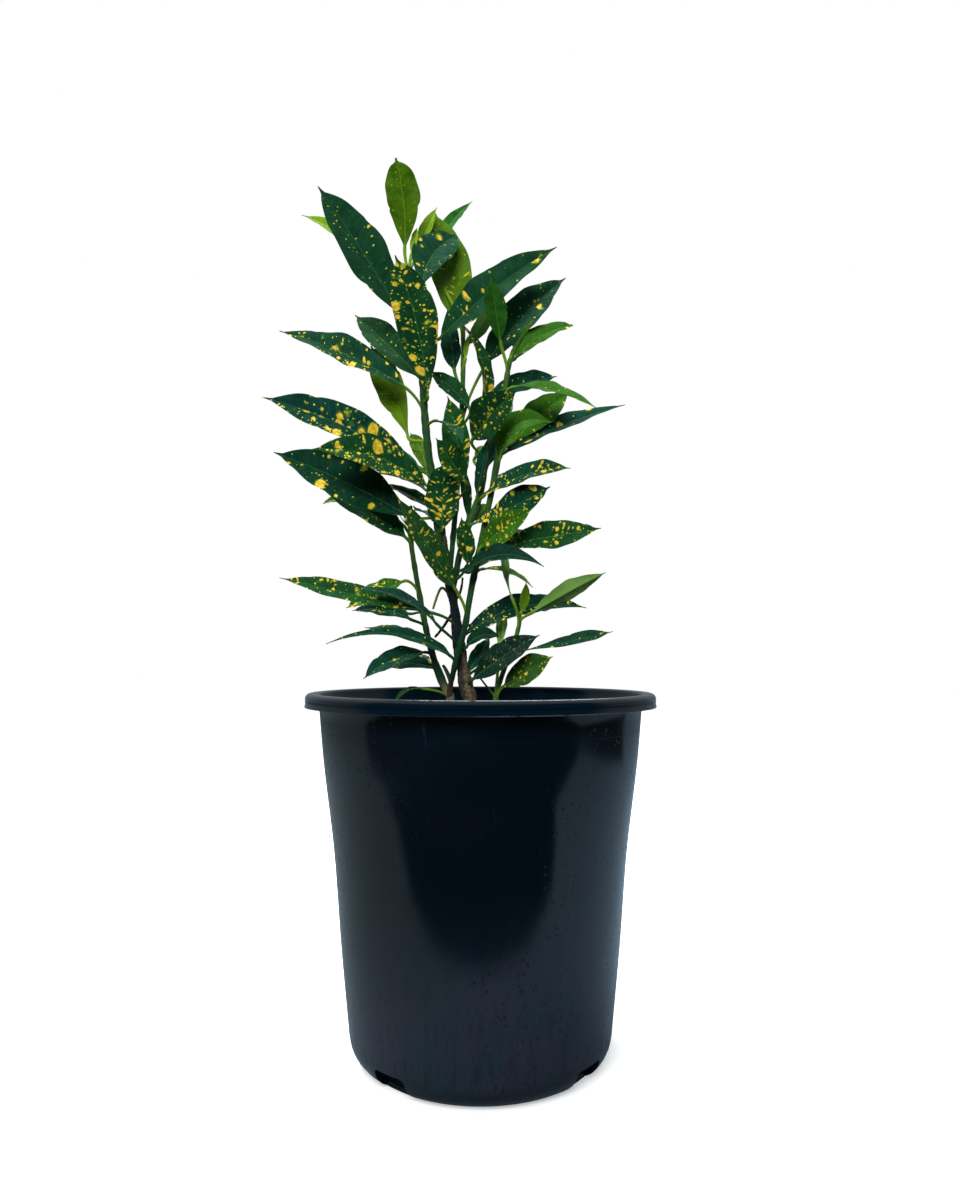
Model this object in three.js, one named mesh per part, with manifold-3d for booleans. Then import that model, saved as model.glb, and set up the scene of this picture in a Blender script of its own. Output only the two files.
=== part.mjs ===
// Potted croton: a plain plastic nursery pot filled with soil, and two croton plants in it.
// Millimetres, +Z up. The origin is on the pot's axis at its foot, and the photograph looks along +Y.
import * as THREE from "three";
import { mergeVertices } from "three/addons/utils/BufferGeometryUtils.js";
import Module from "manifold-3d";

const wasm = await Module();
wasm.setup();

// The viewpoint of the photograph, level with the gap between rim and lowest leaves
const VIEW_DISTANCE = 650;
const VIEW_HEIGHT = 288;

// Pot
const POT_HEIGHT = 261;
const RIM_RADIUS = 125;
const RIM_DEPTH = 9.5;
const RIM_ROUNDING = 3.5;
const RIM_INNER_RADIUS = 115.5;
const ROLL_WALL = 2.4;
const WALL = 2;
const FLOOR = 3;
const FOOT_RADIUS = 74;
const CORNER_RADIUS = 20;
const WALL_RADII = [
  [94.3, 20], [99.6, 79], [104.9, 150], [112.9, 221], [113.5, 235], [113.9, 235.4], [115, 248],
];
const POT_SIDES = 36;

// Drainage notches in the bottom corner, a quarter of a turn apart
const NOTCH_TURNS = [-40, 51, 141, 230];
const NOTCH_WIDTH = 27;
const NOTCH_HEIGHT = 17;
const NOTCH_FROM_AXIS = 81;

// Soil
const SOIL_TOP = 231;
const SOIL_CROWN = 3;
const SOIL_RADIUS = 111;
const GAP = 0.3;

// Leaves
const BLADE = 0.9;
const FOLD = 0.32;
const WAVE = 0.09;
const PETIOLE_RADIUS = 1.1;
const POINTED = 0.8;
const TIP_HALF_WIDTH = 0.5;
const PETIOLE_STEPS = 2;
const BLADE_STEPS = 6;
const STEM_SIDES = 6;
const TWIG_SIDES = 6;

// Stems as seen from the viewpoint: across, up, depth behind the pot's axis, radius
const MAIN_STEM = [
  [-5, 214, -4, 5.2], [-7.5, 252, -3, 4.9], [-10, 263, -2, 4.6], [-12.5, 276, 0, 4.2],
  [-14.5, 288, 0, 4], [-16.5, 302, 0, 3.7], [-18.5, 319, 0, 3.3], [-20.5, 331, 0, 3.1],
  [-23, 344, 0, 2.8], [-24.5, 360, 0, 2.3], [-26.5, 373, 0, 1.9], [-27.5, 382, 0, 1.6],
];
const TALL_STEM = [
  [-24, 349, 0, 1.8], [-29, 362, -1, 2.7], [-31, 385, -1, 2.8], [-34, 409, 0, 2.7], [-38, 437, 0, 2.6],
  [-40.5, 462, 1, 2.5], [-42, 484, 2, 2.3], [-45, 509, 4, 2], [-49.2, 541, 5, 1.8],
];
const YOUNG_STEM = [
  [-49.3, 541.4, 5, 1.8], [-51.3, 556, 5, 1.7], [-53, 570, 5, 1.3],
];
const CENTRE_STEM = [
  [-22, 345, 2, 1.4], [-20, 372, 8, 2], [-17.5, 400, 11, 2], [-15, 440, 12, 2], [-13, 480, 12, 1.8],
  [-12.5, 518, 12, 1.3],
];
const INNER_STEM = [
  [-20, 333, -1, 1.6], [-16, 357, -1, 2.3], [-12, 372, -1, 2.4], [-7, 386, 0, 2.4], [0, 406, 2, 2.2],
  [3.5, 425, 3, 2], [7, 443, 4, 1.8], [10, 456, 5, 1.4],
];
const RIGHT_STEM = [
  [-20.5, 271.9, -3.2, 2], [-19.4, 277, -6, 2], [-17.8, 283, -7.2, 2.1], [-16, 290.5, -7.4, 2.3],
  [-12.9, 302, -7.2, 2.3], [-10.6, 312, -6.2, 2.1], [-6.8, 335, -4, 2.3], [-2, 358, -4, 2.3],
  [2.5, 380, -5, 2.2], [7.5, 404, -5, 2.2], [12.5, 431, -5, 2.1], [15.5, 455, -5, 2],
  [18, 482, -5, 1.9], [21.5, 503, -5, 1.5],
];
const LEFT_STEM = [
  [-20, 214, 2, 3], [-21.8, 254, 3, 2.9], [-23.8, 261, 4, 3.5], [-27, 267, 5, 2.9],
  [-30.2, 275, 6, 2.6], [-33.8, 285, 8, 2.4], [-39, 305, 11, 2.1], [-43.6, 328, 13, 2],
  [-47.5, 350, 14, 1.9], [-50.5, 372, 14, 1.8], [-50.5, 396, 19, 1.2],
];
const SMALL_STEM = [
  [10, 214, -10, 2.2], [11, 255, -10, 1.9], [14.6, 270, -9, 1.8], [19.6, 284, -8, 1.7], [25, 299, -8, 1.6],
  [27.6, 308, -8, 1.4], [29, 318, -9, 1],
];

// Leaves as seen from the viewpoint: foot (height up the stem), base (across, up, depth),
// tip (across, up, depth), blade width, roll, arch, how far along the blade is broadest, how pointed.
// A roll of 0 faces the viewer, 90 faces up, past 90 shows the underside.
const MAIN_LEAVES = [
  [304, -37, 319, -15, -146, 344, -26, 18, 40, 0, 0.58],
  [335, -15, 345, -13, 46, 352, -46, 19, 48, 11.5, 0.42, 1.1],
  [299, -11, 303, 4, 77, 322, 18, 20, 36, 11, 0.46],
  [262, -6, 270, -10, 43, 302.5, -44, 21, 30, 1.5, 0.52],
  [290, -10, 294, -8, 15, 300.5, -5, 13, 45, 5, 0.5],
  [268, -8.5, 276, 4, 7, 301, 14, 12, 25, 0, 0.5],
  [337, -29.5, 349, 2, -58.5, 389, 6, 12, 84, 0, 0.5],
  [300, 2, 312, 20, 56, 322, 92, 22, 60, 2, 0.5],
  [266, -2, 278, 14, 28, 296, 88, 20, 50, 0, 0.5],
];
const TALL_LEAVES = [
  [469, -38.5, 475, -8, -62, 578, -24, 31, 6, 4, 0.6, 0.65],
  [500, -57, 534, 2, -118, 628, -16, 34, 20, 1, 0.52, 0.72],
  [476, -44, 489, 4, -91, 534.5, 34, 28, 25, 1, 0.5, 0.65],
  [459, -56, 483, -3, -146, 523, -12, 28, 37, 4, 0.48],
  [440, -52.5, 446, 8, -79.5, 512, 26, 24, -22, 3, 0.6, 0.55],
  [424, -38.5, 420, 4, -51, 449, 36, 13, 10, 2, 0.55, 0.6],
  [414, -45, 423, -5, -158.5, 475, -32, 30, 28, 5.5, 0.55],
  [404, -39, 411, -9, -123, 437, -48, 27, 26, 8.5, 0.48],
  [384, -51, 388, -4, -150, 435, -18, 35, 24, 2.5, 0.52],
  [402, -40, 408, 6, -79, 420, 58, 15, 62, 3, 0.5],
  [390, -34, 393, 3, -71, 412, 44, 13, 45, 2, 0.5],
  [382, -34.5, 386, 4, -48, 393, 62, 18, 60, 2, 0.5],
  [514, -29, 518, -1, 55.5, 584, -20, 29, 20, 4, 0.48],
  [451, -32, 458, -8, -13, 442, -48, 12, 48, 3, 0.5],
  [374, -28, 379, -6, -26.5, 427, -12, 25, 4, 0, 0.5, 0.4],
  [486, -45, 493, 14, -55, 560, 86, 24, 30, 0, 0.5],
  [404, -44, 424, 16, -112, 452, 84, 24, 55, 2, 0.5],
];
const YOUNG_LEAVES = [
  [562, -55, 583, 5, -61.5, 648.5, 4, 24.5, 0, 2.5, 0.58, 0.5],
  [560, -50, 579, 7, -46, 598, 10, 5.5, 10, 0, 0.5, 0.6],
  [552, -69, 553, 12, -129.5, 607, 14, 17, 20, 10, 0.5],
  [550, -42, 556, -2, -18, 592, 26, 29, 2, 6.5, 0.58, 0.4],
  [558, -45.3, 581, 22, -31.6, 612.5, 24, 9.5, 8, 1.2, 0.5],
];
const CENTRE_LEAVES = [
  [505, -13, 529, 24, -33, 609, 34, 31, 0, 0.5, 0.46, 0.65],
  [514, -30, 588, 42, -6, 617, 50, 12, 26, 2, 0.42],
  [374, -9, 388, 7, -13, 426, 8, 9, 30, 0, 0.5],
  [474, -19, 495, 14, -24, 540, 18, 15, -15, 0, 0.42],
  [492, -11, 503, 8, -9, 520, 8, 4.5, 20, 0, 0.5],
  [497, -9.5, 513, 14, 15, 545, 20, 12, 150, 0, 0.5],
  [444, 4.5, 499.5, 14, 62, 561.5, 4, 31, 25, 4, 0.5, 0.7],
  [450, -8, 467, 6, -38, 494, 9, 15, 20, 2, 0.5],
  [397, -16, 416, 4, -24, 476, 2, 21, -18, 3, 0.5],
  [396, -11, 414, -16, -32.5, 445.5, -36, 18, 10, 0, 0.5],
  [500, -9, 536, 20, 40, 569, 88, 24, 50, 0, 0.5],
  [396, -18, 412, 26, -20, 446, 92, 22, 20, 0, 0.5],
];
const INNER_LEAVES = [
  [426, -6, 444, -8, 26.5, 480, -42, 28, 8, 2, 0.5],
  [440, 2, 467, 1, -16.5, 531, 2, 17, 55, 8.5, 0.4],
  [444, 6, 477, 4, 55.5, 490, 12, 18, 24, 1.5, 0.55],
  [394, 2, 403, -7, 65.5, 423.5, -32, 19, 40, 5.5, 0.54],
  [372, -7, 382.5, -8, 50.5, 410, -22, 22, 24, -1.5, 0.66, 0.6],
  [346, -9, 354, -5, -14, 388, -12, 14, 20, 0, 0.5],
  [394, -2.5, 403, -3, 6, 447, -9, 11, 42, 0, 0.5],
  [376, -5, 386, 6, 7, 397, 12, 13, 150, 0, 0.5],
  [416, -4, 431, 10, 5, 440, 16, 8, 150, 0, 0.5],
  [408, 4.5, 424, 10, 24, 461.5, 18, 16, 38, 0, 0.5],
  [348, -7, 348.5, 10, 34.5, 359, 24, 15, 52, 6, 0.5],
  [398, 8, 408, 16, 46, 424, 90, 22, 60, 3, 0.5],
  [436, 6, 448, 16, 22, 472, 92, 22, 40, 0, 0.5],
];
const RIGHT_LEAVES = [
  [490, 14.5, 515, -10, 7.5, 562, -32, 15.5, 0, 0, 0.55, 0.65],
  [499, 23, 504, -6, 39.5, 532.5, -30, 11, 68, 0, 0.5],
  [499, 25, 503, -3, 67, 527, 8, 16, 30, 5, 0.45, 0.35],
  [477, 24.5, 482.5, -8, 84.5, 467, -26, 18, 52, 4, 0.42, 1],
  [430, 25, 444, 8, 65, 478.5, 16, 23, 12, 2, 0.52],
  [426, 15, 432.5, -9, 51, 456.5, -32, 22, 28, 12, 0.38],
  [421, 17, 434.5, 4, 105, 469.5, 16, 20, 46, 3, 0.45],
  [358, 0, 366, -7, 37.5, 394, -30, 20, 15, 1, 0.5],
  [357, 12, 368, -2, 87.5, 380, -10, 23, 25, -0.5, 0.55],
  [344, 2, 350.5, -2, 38, 337, 3, 10, 62, 4, 0.5],
  [312, -19, 337, -9, -61.5, 404, -44, 19, 26, 0, 0.42],
  [289, -31.5, 310, -20, -91, 336, -32, 13, 62, 7, 0.45],
  [280, -21.5, 287, -8, -112, 296, -32, 13, 50, 12, 0.27, 1.1],
  [490, 24, 510, 14, 47, 548, 80, 22, 40, 0, 0.5],
  [356, 14, 372, 14, 62, 377, 90, 20, 60, 0, 0.5],
];
const LEFT_LEAVES = [
  [352, -54, 373, 8, -116.5, 409, 4, 24, 32, 3, 0.48],
  [371, -97, 400, 17, -114.5, 397.5, 19, 6, 30, 2, 0.5],
  [330, -56, 341.5, 11, -97.5, 322, 16, 20, 42, 0, 0.5, 0.65],
  [307, -51, 314, 9, -93, 320, 26, 15, 42, 4, 0.5],
  [280, -40, 290, 2, -85, 270.5, -22, 18, 42, 4, 0.5],
  [274, -32, 278, 10, -82, 277, 32, 16, 46, 5, 0.5],
  [253, -42.5, 263.5, -8, -63, 250, -22, 5, 50, 5, 0.4],
  [380, -60, 394, 24, -112, 420, 92, 24, 55, 0, 0.5],
  [316, -52, 318, 26, -108, 335, 92, 22, 60, 0, 0.5],
  [292, -45, 301, 24, -84, 308, 88, 20, 70, 0, 0.5],
  [272, -36, 280, 20, -62, 286, 86, 20, 60, 0, 0.5],
];
const SMALL_LEAVES = [
  [306, 23, 329, -14, 16, 368, -5, 9.5, 48, -2, 0.72, 0.5],
  [314, 29.5, 319, -9, 33, 341, -12, 7, 0, -1, 0.5],
  [311, 38, 319, -12, 91, 348, -26, 15, 148, 0.5, 0.52],
  [284, 29.5, 291, -10, 96, 305, -22, 11, 40, -0.5, 0.68],
  [252, 16.5, 265, -14, 52.5, 287, -42, 20, 28, 0.5, 0.55],
  [254, 14, 291, 10, 17, 326, 26, 8.5, 20, 0, 0.55],
];

// Bare side twigs and leaf stalks left behind, as seen: across, up, depth, radius
const MAIN_TWIGS = [
  [[-21.5, 330.5, -1, 1.2], [-28.5, 336.5, -4, 1], [-34.5, 321.5, -6, 0.8]],
  [[-20, 319, 0, 1.1], [-28, 307, 4, 1], [-33, 301, 6, 0.8]],
  [[-19, 326, 2, 1], [-14.5, 334, 5, 0.9], [-13, 344, 6, 0.8]],
];
const LEFT_TWIGS = [
  [[-22.8, 258, 2.5, 2.6], [-21.8, 266, 0, 2], [-20.6, 271.5, -3, 2.1]],
  [[-21.5, 268, -1, 1.6], [-24.3, 275.5, 1, 1.5], [-27.2, 280.5, 3, 1.1]],
];
const SMALL_TWIGS = [
  [[11.3, 257, -10, 0.9], [5, 264.5, -7, 0.8], [-1.5, 273, -4, 0.6]],
];

const EYE = new THREE.Vector3(0, -VIEW_DISTANCE, VIEW_HEIGHT);
const TO_VIEWER = new THREE.Vector3(0, -1, 0);

// The place at this depth that the viewer sees at this spot of the upright plane through the pot's axis.
function seen(across, up, depth) {
  const onPlane = new THREE.Vector3(across, 0, up);
  return onPlane.sub(EYE).multiplyScalar((VIEW_DISTANCE + depth) / VIEW_DISTANCE).add(EYE);
}

// Joins rings of points into one closed skin. Rings run anticlockwise about the way that they follow,
// and the sides from mirroredFrom to mirroredTo are split along their other diagonal.
function skin(rings, mirroredFrom, mirroredTo) {
  const around = rings[0].length;
  const positions = rings.flat().flatMap((p) => [p.x, p.y, p.z]);
  const faces = [];
  for (let i = 0; i + 1 < rings.length; i++) {
    for (let j = 0; j < around; j++) {
      const k = (j + 1) % around;
      const [a, b, c, d] = [i * around + j, i * around + k, (i + 1) * around + k, (i + 1) * around + j];
      if (j >= mirroredFrom && j <= mirroredTo) faces.push(a, b, d, b, c, d);
      else faces.push(a, b, c, a, c, d);
    }
  }
  const last = (rings.length - 1) * around;
  const half = around / 2;
  for (let j = 0; j + 1 < half; j++) {
    const [a, b, c, d] = [j, j + 1, around - 2 - j, around - 1 - j];
    faces.push(a, d, c, a, c, b, last + a, last + c, last + d, last + a, last + b, last + c);
  }
  const geometry = new THREE.BufferGeometry();
  geometry.setAttribute("position", new THREE.Float32BufferAttribute(positions, 3));
  geometry.setIndex(faces);
  return geometry;
}

function solid(geometry) {
  const bare = geometry.clone();
  bare.deleteAttribute("normal");
  bare.deleteAttribute("uv");
  const merged = mergeVertices(bare, 1e-3);
  return new wasm.Manifold(new wasm.Mesh({
    numProp: 3,
    vertProperties: merged.attributes.position.array,
    triVerts: new Uint32Array(merged.index.array),
  }));
}

function meshOf(name, body, colour, roughness) {
  const { numProp, vertProperties, triVerts } = body.getMesh();
  const positions = [];
  for (let i = 0; i < vertProperties.length; i += numProp) {
    positions.push(...vertProperties.subarray(i, i + 3));
  }
  const geometry = new THREE.BufferGeometry();
  geometry.setAttribute("position", new THREE.Float32BufferAttribute(positions, 3));
  geometry.setIndex(Array.from(triVerts));
  geometry.computeVertexNormals();
  const material = new THREE.MeshStandardMaterial({ color: colour, roughness, metalness: 0 });
  const mesh = new THREE.Mesh(geometry, material);
  mesh.name = name;
  return mesh;
}

// Joins the pieces, and fills any hollow that the join has sealed.
function joined(pieces) {
  const bodies = wasm.Manifold.union(pieces).decompose().filter((body) => body.volume() > 0);
  return bodies.reduce((most, body) => (body.volume() > most.volume() ? body : most));
}

// A round stem through the given places, grown outwards and at both ends by the given amount.
function stem(places, sides, grown = 0) {
  const centres = places.map(([across, up, depth]) => seen(across, up, depth));
  const rings = centres.map((centre, i) => {
    const before = centres[Math.max(i - 1, 0)];
    const after = centres[Math.min(i + 1, centres.length - 1)];
    const along = after.clone().sub(before).normalize();
    const front = TO_VIEWER.clone().addScaledVector(along, -TO_VIEWER.dot(along)).normalize();
    const side = new THREE.Vector3().crossVectors(along, front);
    const shift = i === 0 ? -grown : i === centres.length - 1 ? grown : 0;
    const middle = centre.clone().addScaledVector(along, shift);
    const radius = places[i][3] + grown;
    return Array.from({ length: sides }, (_, j) => {
      const turn = (2 * Math.PI * j) / sides;
      const point = middle.clone().addScaledVector(front, radius * Math.cos(turn));
      return point.addScaledVector(side, radius * Math.sin(turn));
    });
  });
  return solid(skin(rings));
}

// The middle of the stem at this seen height, and the way the stem goes there.
function onStem(places, height) {
  let i = 0;
  while (i + 2 < places.length && places[i + 1][1] < height) i++;
  const [low, high] = [places[i], places[i + 1]];
  const part = (height - low[1]) / (high[1] - low[1]);
  const [across, up, depth] = low.map((value, k) => value + (high[k] - value) * part);
  const along = seen(...high.slice(0, 3)).sub(seen(...low.slice(0, 3))).normalize();
  return { foot: seen(across, up, depth), along };
}

// The part of the width reached at this place along the blade, which is broadest where told.
function fullness(place, broadest, pointed) {
  const power = Math.log(0.5) / Math.log(broadest);
  return Math.sin(Math.PI * place ** power) ** (place < broadest ? POINTED : pointed);
}

// Stations lie closer together towards both ends of a blade.
function bladePlace(part) {
  return part / 2 + (1 - Math.cos(Math.PI * part)) / 4;
}

// Where the leaf goes: stations along its stalk and blade, each with its way along and its upper side.
function leafStations(places, row) {
  const [height, baseAcross, baseUp, baseDepth, tipAcross, tipUp, tipDepth, , roll, arch] = row;
  const { foot, along } = onStem(places, height);
  const base = seen(baseAcross, baseUp, baseDepth);
  const tip = seen(tipAcross, tipUp, tipDepth);
  const chord = tip.clone().sub(base).normalize();
  const facing = TO_VIEWER.clone().addScaledVector(chord, -TO_VIEWER.dot(chord)).normalize();
  const upper = new THREE.Vector3().crossVectors(chord, facing);
  if (upper.z < 0) upper.negate();
  const middle = base.clone().add(tip).multiplyScalar(0.5).addScaledVector(upper, 2 * arch);
  const blade = new THREE.QuadraticBezierCurve3(base, middle, tip);
  const reach = foot.distanceTo(base) / 3;
  const leaving = foot.clone().addScaledVector(along, reach);
  const arriving = base.clone().addScaledVector(middle.clone().sub(base).normalize(), -reach);
  const stalk = new THREE.CubicBezierCurve3(foot, leaving, arriving, base);
  const stations = [];
  for (let i = 0; i < PETIOLE_STEPS; i++) {
    const t = i / PETIOLE_STEPS;
    stations.push({ centre: stalk.getPoint(t), along: stalk.getTangent(t), place: -1 });
  }
  for (let i = 0; i <= BLADE_STEPS; i++) {
    const t = bladePlace(i / BLADE_STEPS);
    stations.push({ centre: blade.getPoint(t), along: blade.getTangent(t), place: t });
  }
  const turn = THREE.MathUtils.degToRad(roll);
  const face = facing.multiplyScalar(Math.cos(turn)).addScaledVector(upper, Math.sin(turn));
  const half = PETIOLE_STEPS + Math.floor(BLADE_STEPS / 2);
  carryFace(stations.slice(half), face);
  carryFace(stations.slice(0, half + 1).reverse(), face);
  return stations;
}

// Keeps the face of the blade square to its way along, from one station to the next.
function carryFace(stations, face) {
  let last = face;
  for (const station of stations) {
    last = last.clone().addScaledVector(station.along, -last.dot(station.along)).normalize();
    station.face = last;
  }
}

// A leaf with its stalk: three points a station on the upper face and three below, folded at the midrib.
function leaf(places, row) {
  const [width, , , broadest, pointed = POINTED] = row.slice(7);
  const phase = row[4] + row[5];
  const rings = leafStations(places, row).map(({ centre, along, face, place }) => {
    const onBlade = place > 0;
    const half = onBlade
      ? Math.max(TIP_HALF_WIDTH, (width / 2) * fullness(Math.min(place, 0.999), broadest, pointed))
      : PETIOLE_RADIUS;
    const across = new THREE.Vector3().crossVectors(along, face);
    const rib = onBlade ? BLADE / 2 : PETIOLE_RADIUS * 0.8;
    const lift = (side) => {
      if (!onBlade) return 0;
      return half * (FOLD + WAVE * Math.sin(4 * Math.PI * place + phase + side));
    };
    const point = (side, height) => {
      return centre.clone().addScaledVector(across, side * half).addScaledVector(face, height);
    };
    return [
      point(-1, lift(-1) + BLADE / 2),
      point(0, rib),
      point(1, lift(1) + BLADE / 2),
      point(1, lift(1) - BLADE / 2),
      point(0, -rib),
      point(-1, lift(-1) - BLADE / 2),
    ];
  });
  return solid(skin(rings, 3, 4));
}

function shoot(places, leaves, twigs = []) {
  return joined([
    stem(places, STEM_SIDES),
    ...leaves.map((row) => leaf(places, row)),
    ...twigs.map((twig) => stem(twig, TWIG_SIDES)),
  ]);
}

// The room that the foot of each stem takes up in what it grows out of.
function socketsFor(stems) {
  return wasm.Manifold.union(stems.map((places) => stem(places.slice(0, 3), STEM_SIDES, GAP)));
}

function turned(profile) {
  const points = profile.map(([radius, height]) => new THREE.Vector2(radius, height));
  return solid(new THREE.LatheGeometry(points, POT_SIDES).rotateX(Math.PI / 2));
}

// Points of a quarter round from the floor outwards and up.
function corner(centreRadius, centreHeight, radius) {
  return Array.from({ length: 4 }, (_, i) => {
    const turn = (Math.PI / 2) * (i / 3);
    return [centreRadius + radius * Math.sin(turn), centreHeight - radius * Math.cos(turn)];
  });
}

function insideProfile(clearance) {
  const floorRadius = CORNER_RADIUS - FLOOR - clearance;
  const wall = WALL_RADII.slice(1, 5).map(([radius, height]) => [radius - WALL - clearance, height]);
  return [[0, FLOOR + clearance], ...corner(FOOT_RADIUS, CORNER_RADIUS, floorRadius), ...wall];
}

// The blocks that the drainage notches take out of the corner, grown by the given amount.
function notches(grown) {
  const depth = CORNER_RADIUS;
  const blocks = NOTCH_TURNS.map((turn) => {
    const box = new THREE.BoxGeometry(NOTCH_WIDTH + 2 * grown, depth, 2 * (NOTCH_HEIGHT + grown));
    box.translate(0, -NOTCH_FROM_AXIS + grown - depth / 2, 0);
    return solid(box.rotateZ(THREE.MathUtils.degToRad(turn)));
  });
  return wasm.Manifold.union(blocks);
}

function potBody() {
  const rimTop = POT_HEIGHT;
  const rimFoot = POT_HEIGHT - RIM_DEPTH;
  const [wallTopRadius, wallTop] = WALL_RADII.at(-1);
  const outside = [[0, 0], ...corner(FOOT_RADIUS, CORNER_RADIUS, CORNER_RADIUS), ...WALL_RADII];
  const roll = [
    [wallTopRadius + 1.5, rimTop - ROLL_WALL - 1.5],
    [RIM_RADIUS - ROLL_WALL, rimTop - ROLL_WALL - 1],
    [RIM_RADIUS - ROLL_WALL, rimFoot],
    [RIM_RADIUS + 0.4, rimFoot],
    [RIM_RADIUS, rimFoot + 1],
    [RIM_RADIUS, rimTop - RIM_ROUNDING],
    [RIM_RADIUS - 1, rimTop - 1],
    [RIM_RADIUS - RIM_ROUNDING, rimTop],
    [RIM_INNER_RADIUS + 2, rimTop],
    [RIM_INNER_RADIUS + 0.4, rimTop - 1],
    [RIM_INNER_RADIUS - 0.7, rimTop - 4],
  ];
  const inside = insideProfile(0).reverse();
  const whole = turned([...outside, ...roll, ...inside, [0, 0]]);
  return whole.subtract(notches(0));
}

function soilBody() {
  const wall = insideProfile(GAP).slice(0, -1);
  const crown = SOIL_TOP + SOIL_CROWN;
  const top = [[SOIL_RADIUS, SOIL_TOP], [80, SOIL_TOP + 1], [30, crown], [0, crown]];
  const whole = turned([...wall, ...top, [0, FLOOR + GAP]]);
  return whole.subtract(socketsFor([MAIN_STEM, LEFT_STEM, SMALL_STEM])).subtract(notches(GAP));
}

// The main stem, with a socket where each green shoot grows out of it.
function mainBody() {
  const sockets = socketsFor([TALL_STEM, CENTRE_STEM, INNER_STEM]);
  return joined([shoot(MAIN_STEM, MAIN_LEAVES, MAIN_TWIGS).subtract(sockets)]);
}

const GREEN = 0x1f5a3c;
const YOUNG_GREEN = 0x6f8f1a;
const BARK = 0x5c5a3c;

const plant = new THREE.Group();
plant.add(
  meshOf("pot", potBody(), 0x17212b, 0.35),
  meshOf("soil", soilBody(), 0x2b2119, 1),
  meshOf("main_stem", mainBody(), BARK, 0.7),
  meshOf("tall_shoot", shoot(TALL_STEM, TALL_LEAVES), GREEN, 0.4),
  meshOf("young_leaves", shoot(YOUNG_STEM, YOUNG_LEAVES), YOUNG_GREEN, 0.45),
  meshOf("centre_shoot", shoot(CENTRE_STEM, CENTRE_LEAVES), GREEN, 0.4),
  meshOf("inner_shoot", shoot(INNER_STEM, INNER_LEAVES), GREEN, 0.4),
  meshOf("right_shoot", shoot(RIGHT_STEM, RIGHT_LEAVES), GREEN, 0.4),
  meshOf("left_plant", shoot(LEFT_STEM, LEFT_LEAVES, LEFT_TWIGS), GREEN, 0.4),
  meshOf("small_plant", shoot(SMALL_STEM, SMALL_LEAVES, SMALL_TWIGS), GREEN, 0.4),
);

export default plant;
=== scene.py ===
"""Looks of a potted croton: fine leaves, stems and soil, and a moulded plastic nursery pot.

Blender works in metres, +Z up. Tables and sizes are in millimetres, and the photograph looks along +Y.
"""
import math
from functools import partialmethod

import bpy
import numpy as np
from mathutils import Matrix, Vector


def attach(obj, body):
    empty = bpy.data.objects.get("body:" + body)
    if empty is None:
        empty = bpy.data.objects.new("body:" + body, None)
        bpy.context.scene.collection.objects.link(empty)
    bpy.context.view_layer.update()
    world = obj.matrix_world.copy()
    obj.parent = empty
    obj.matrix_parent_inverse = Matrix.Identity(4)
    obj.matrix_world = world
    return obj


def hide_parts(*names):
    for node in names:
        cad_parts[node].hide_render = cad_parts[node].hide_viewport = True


MM = 0.001
BODY = "root"

# The photograph's viewpoint and frame
VIEW_DISTANCE = 650
VIEW_HEIGHT = 288
FOCAL_PIXELS = 896
FRAME_PIXELS = (960, 1200)
HORIZON_ROW = 655
AXIS_COLUMN = 480.5

# Pot. WALL_RADII are the wall's outer radius and height from its foot up, and WALL_LEANS how it leans there.
# RIM_BAND is the outside of the rolled rim, counted from RIM_RADIUS and RIM_FOOT.
POT_HEIGHT = 261
RIM_RADIUS = 125
RIM_FOOT = 251.5
RIM_INNER_RADIUS = 115.5
RIM_UNDERSIDE = [(117.4, 257.2), (121.9, 257.2), (122.6, 256.4), (122.6, RIM_FOOT + 0.2), (122.9, RIM_FOOT)]
RIM_BAND = [(0.2, 0), (0.4, 0.3), (0.3, 1), (-0.1, 2), (0, 4)]
FOOT_RADIUS = 74
CORNER_RADIUS = 20
WALL = 2
FLOOR = 3
WALL_RADII = [(94.3, 20), (99.6, 79), (104.9, 150), (112.9, 221), (115, 248)]
WALL_LEANS = [0.0898, 0.0829, 0.094, 0.0875, 0.0778]
POT_SIDES = 192

# Drainage notches, and the mould's parting lines on the rim: degrees round the pot from its front
NOTCH_TURNS = (-40, 51, 141, 230)
NOTCH_WIDTH = 27
NOTCH_HEIGHT = 17
NOTCH_FROM_AXIS = 81
PARTING_TURNS = (-52.2, 58)

# Soil, and the gap that it keeps from the pot
GAP = 0.3
SOIL_TOP = 231
SOIL_CROWN = 3
SOIL_RADIUS = 110.9

# Leaves. LEAF_SHAPE is how far along the blade is broadest and how pointed it is, where a leaf doesn't say.
# SIDES are shares of the half width where points stand, and below 0 on the left.
LEAF_SHAPE = (0.5, 0.8)
FOLD = 0.32
WAVE = 0.09
POINTED = 0.8
BODY_SHARE = 0.95
DRIP_WIDTH = 0.55
PETIOLE_RADIUS = 1.1
EDGE_THICKNESS = 0.35
RIB_HEIGHT = 0.55
STALK_STEPS = 9
BLADE_STEPS = 34
COLUMNS = (0, 0.07, 0.2, 0.4, 0.6, 0.8, 0.93, 1)
SIDES = [-share for share in COLUMNS[:0:-1]] + [*COLUMNS]

# Side veins: how they run outwards and along, how they bend back, and their spacing
VEIN_OUT = 0.82
VEIN_ALONG = 0.57
VEIN_BEND = 0.012
VEIN_SPACING = 4.8

# Layers of leaf spots: cells per millimetre, their length, the radius in cells, and a shift between layers
SPOT_LAYERS = [(0.5, 0.7, 0.33, 0), (0.25, 0.7, 0.38, 11), (0.115, 0.7, 0.44, 23), (0.42, 0.26, 0.42, 31)]

# Stems: length of a step, and the low domes at both ends as share of the radius and shift in radii
STEM_STEP = 1.5
START_DOME = [(0.25, -0.3), (0.75, -0.12)]
END_DOME = [(0.8, 0.12), (0.3, 0.32)]

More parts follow.
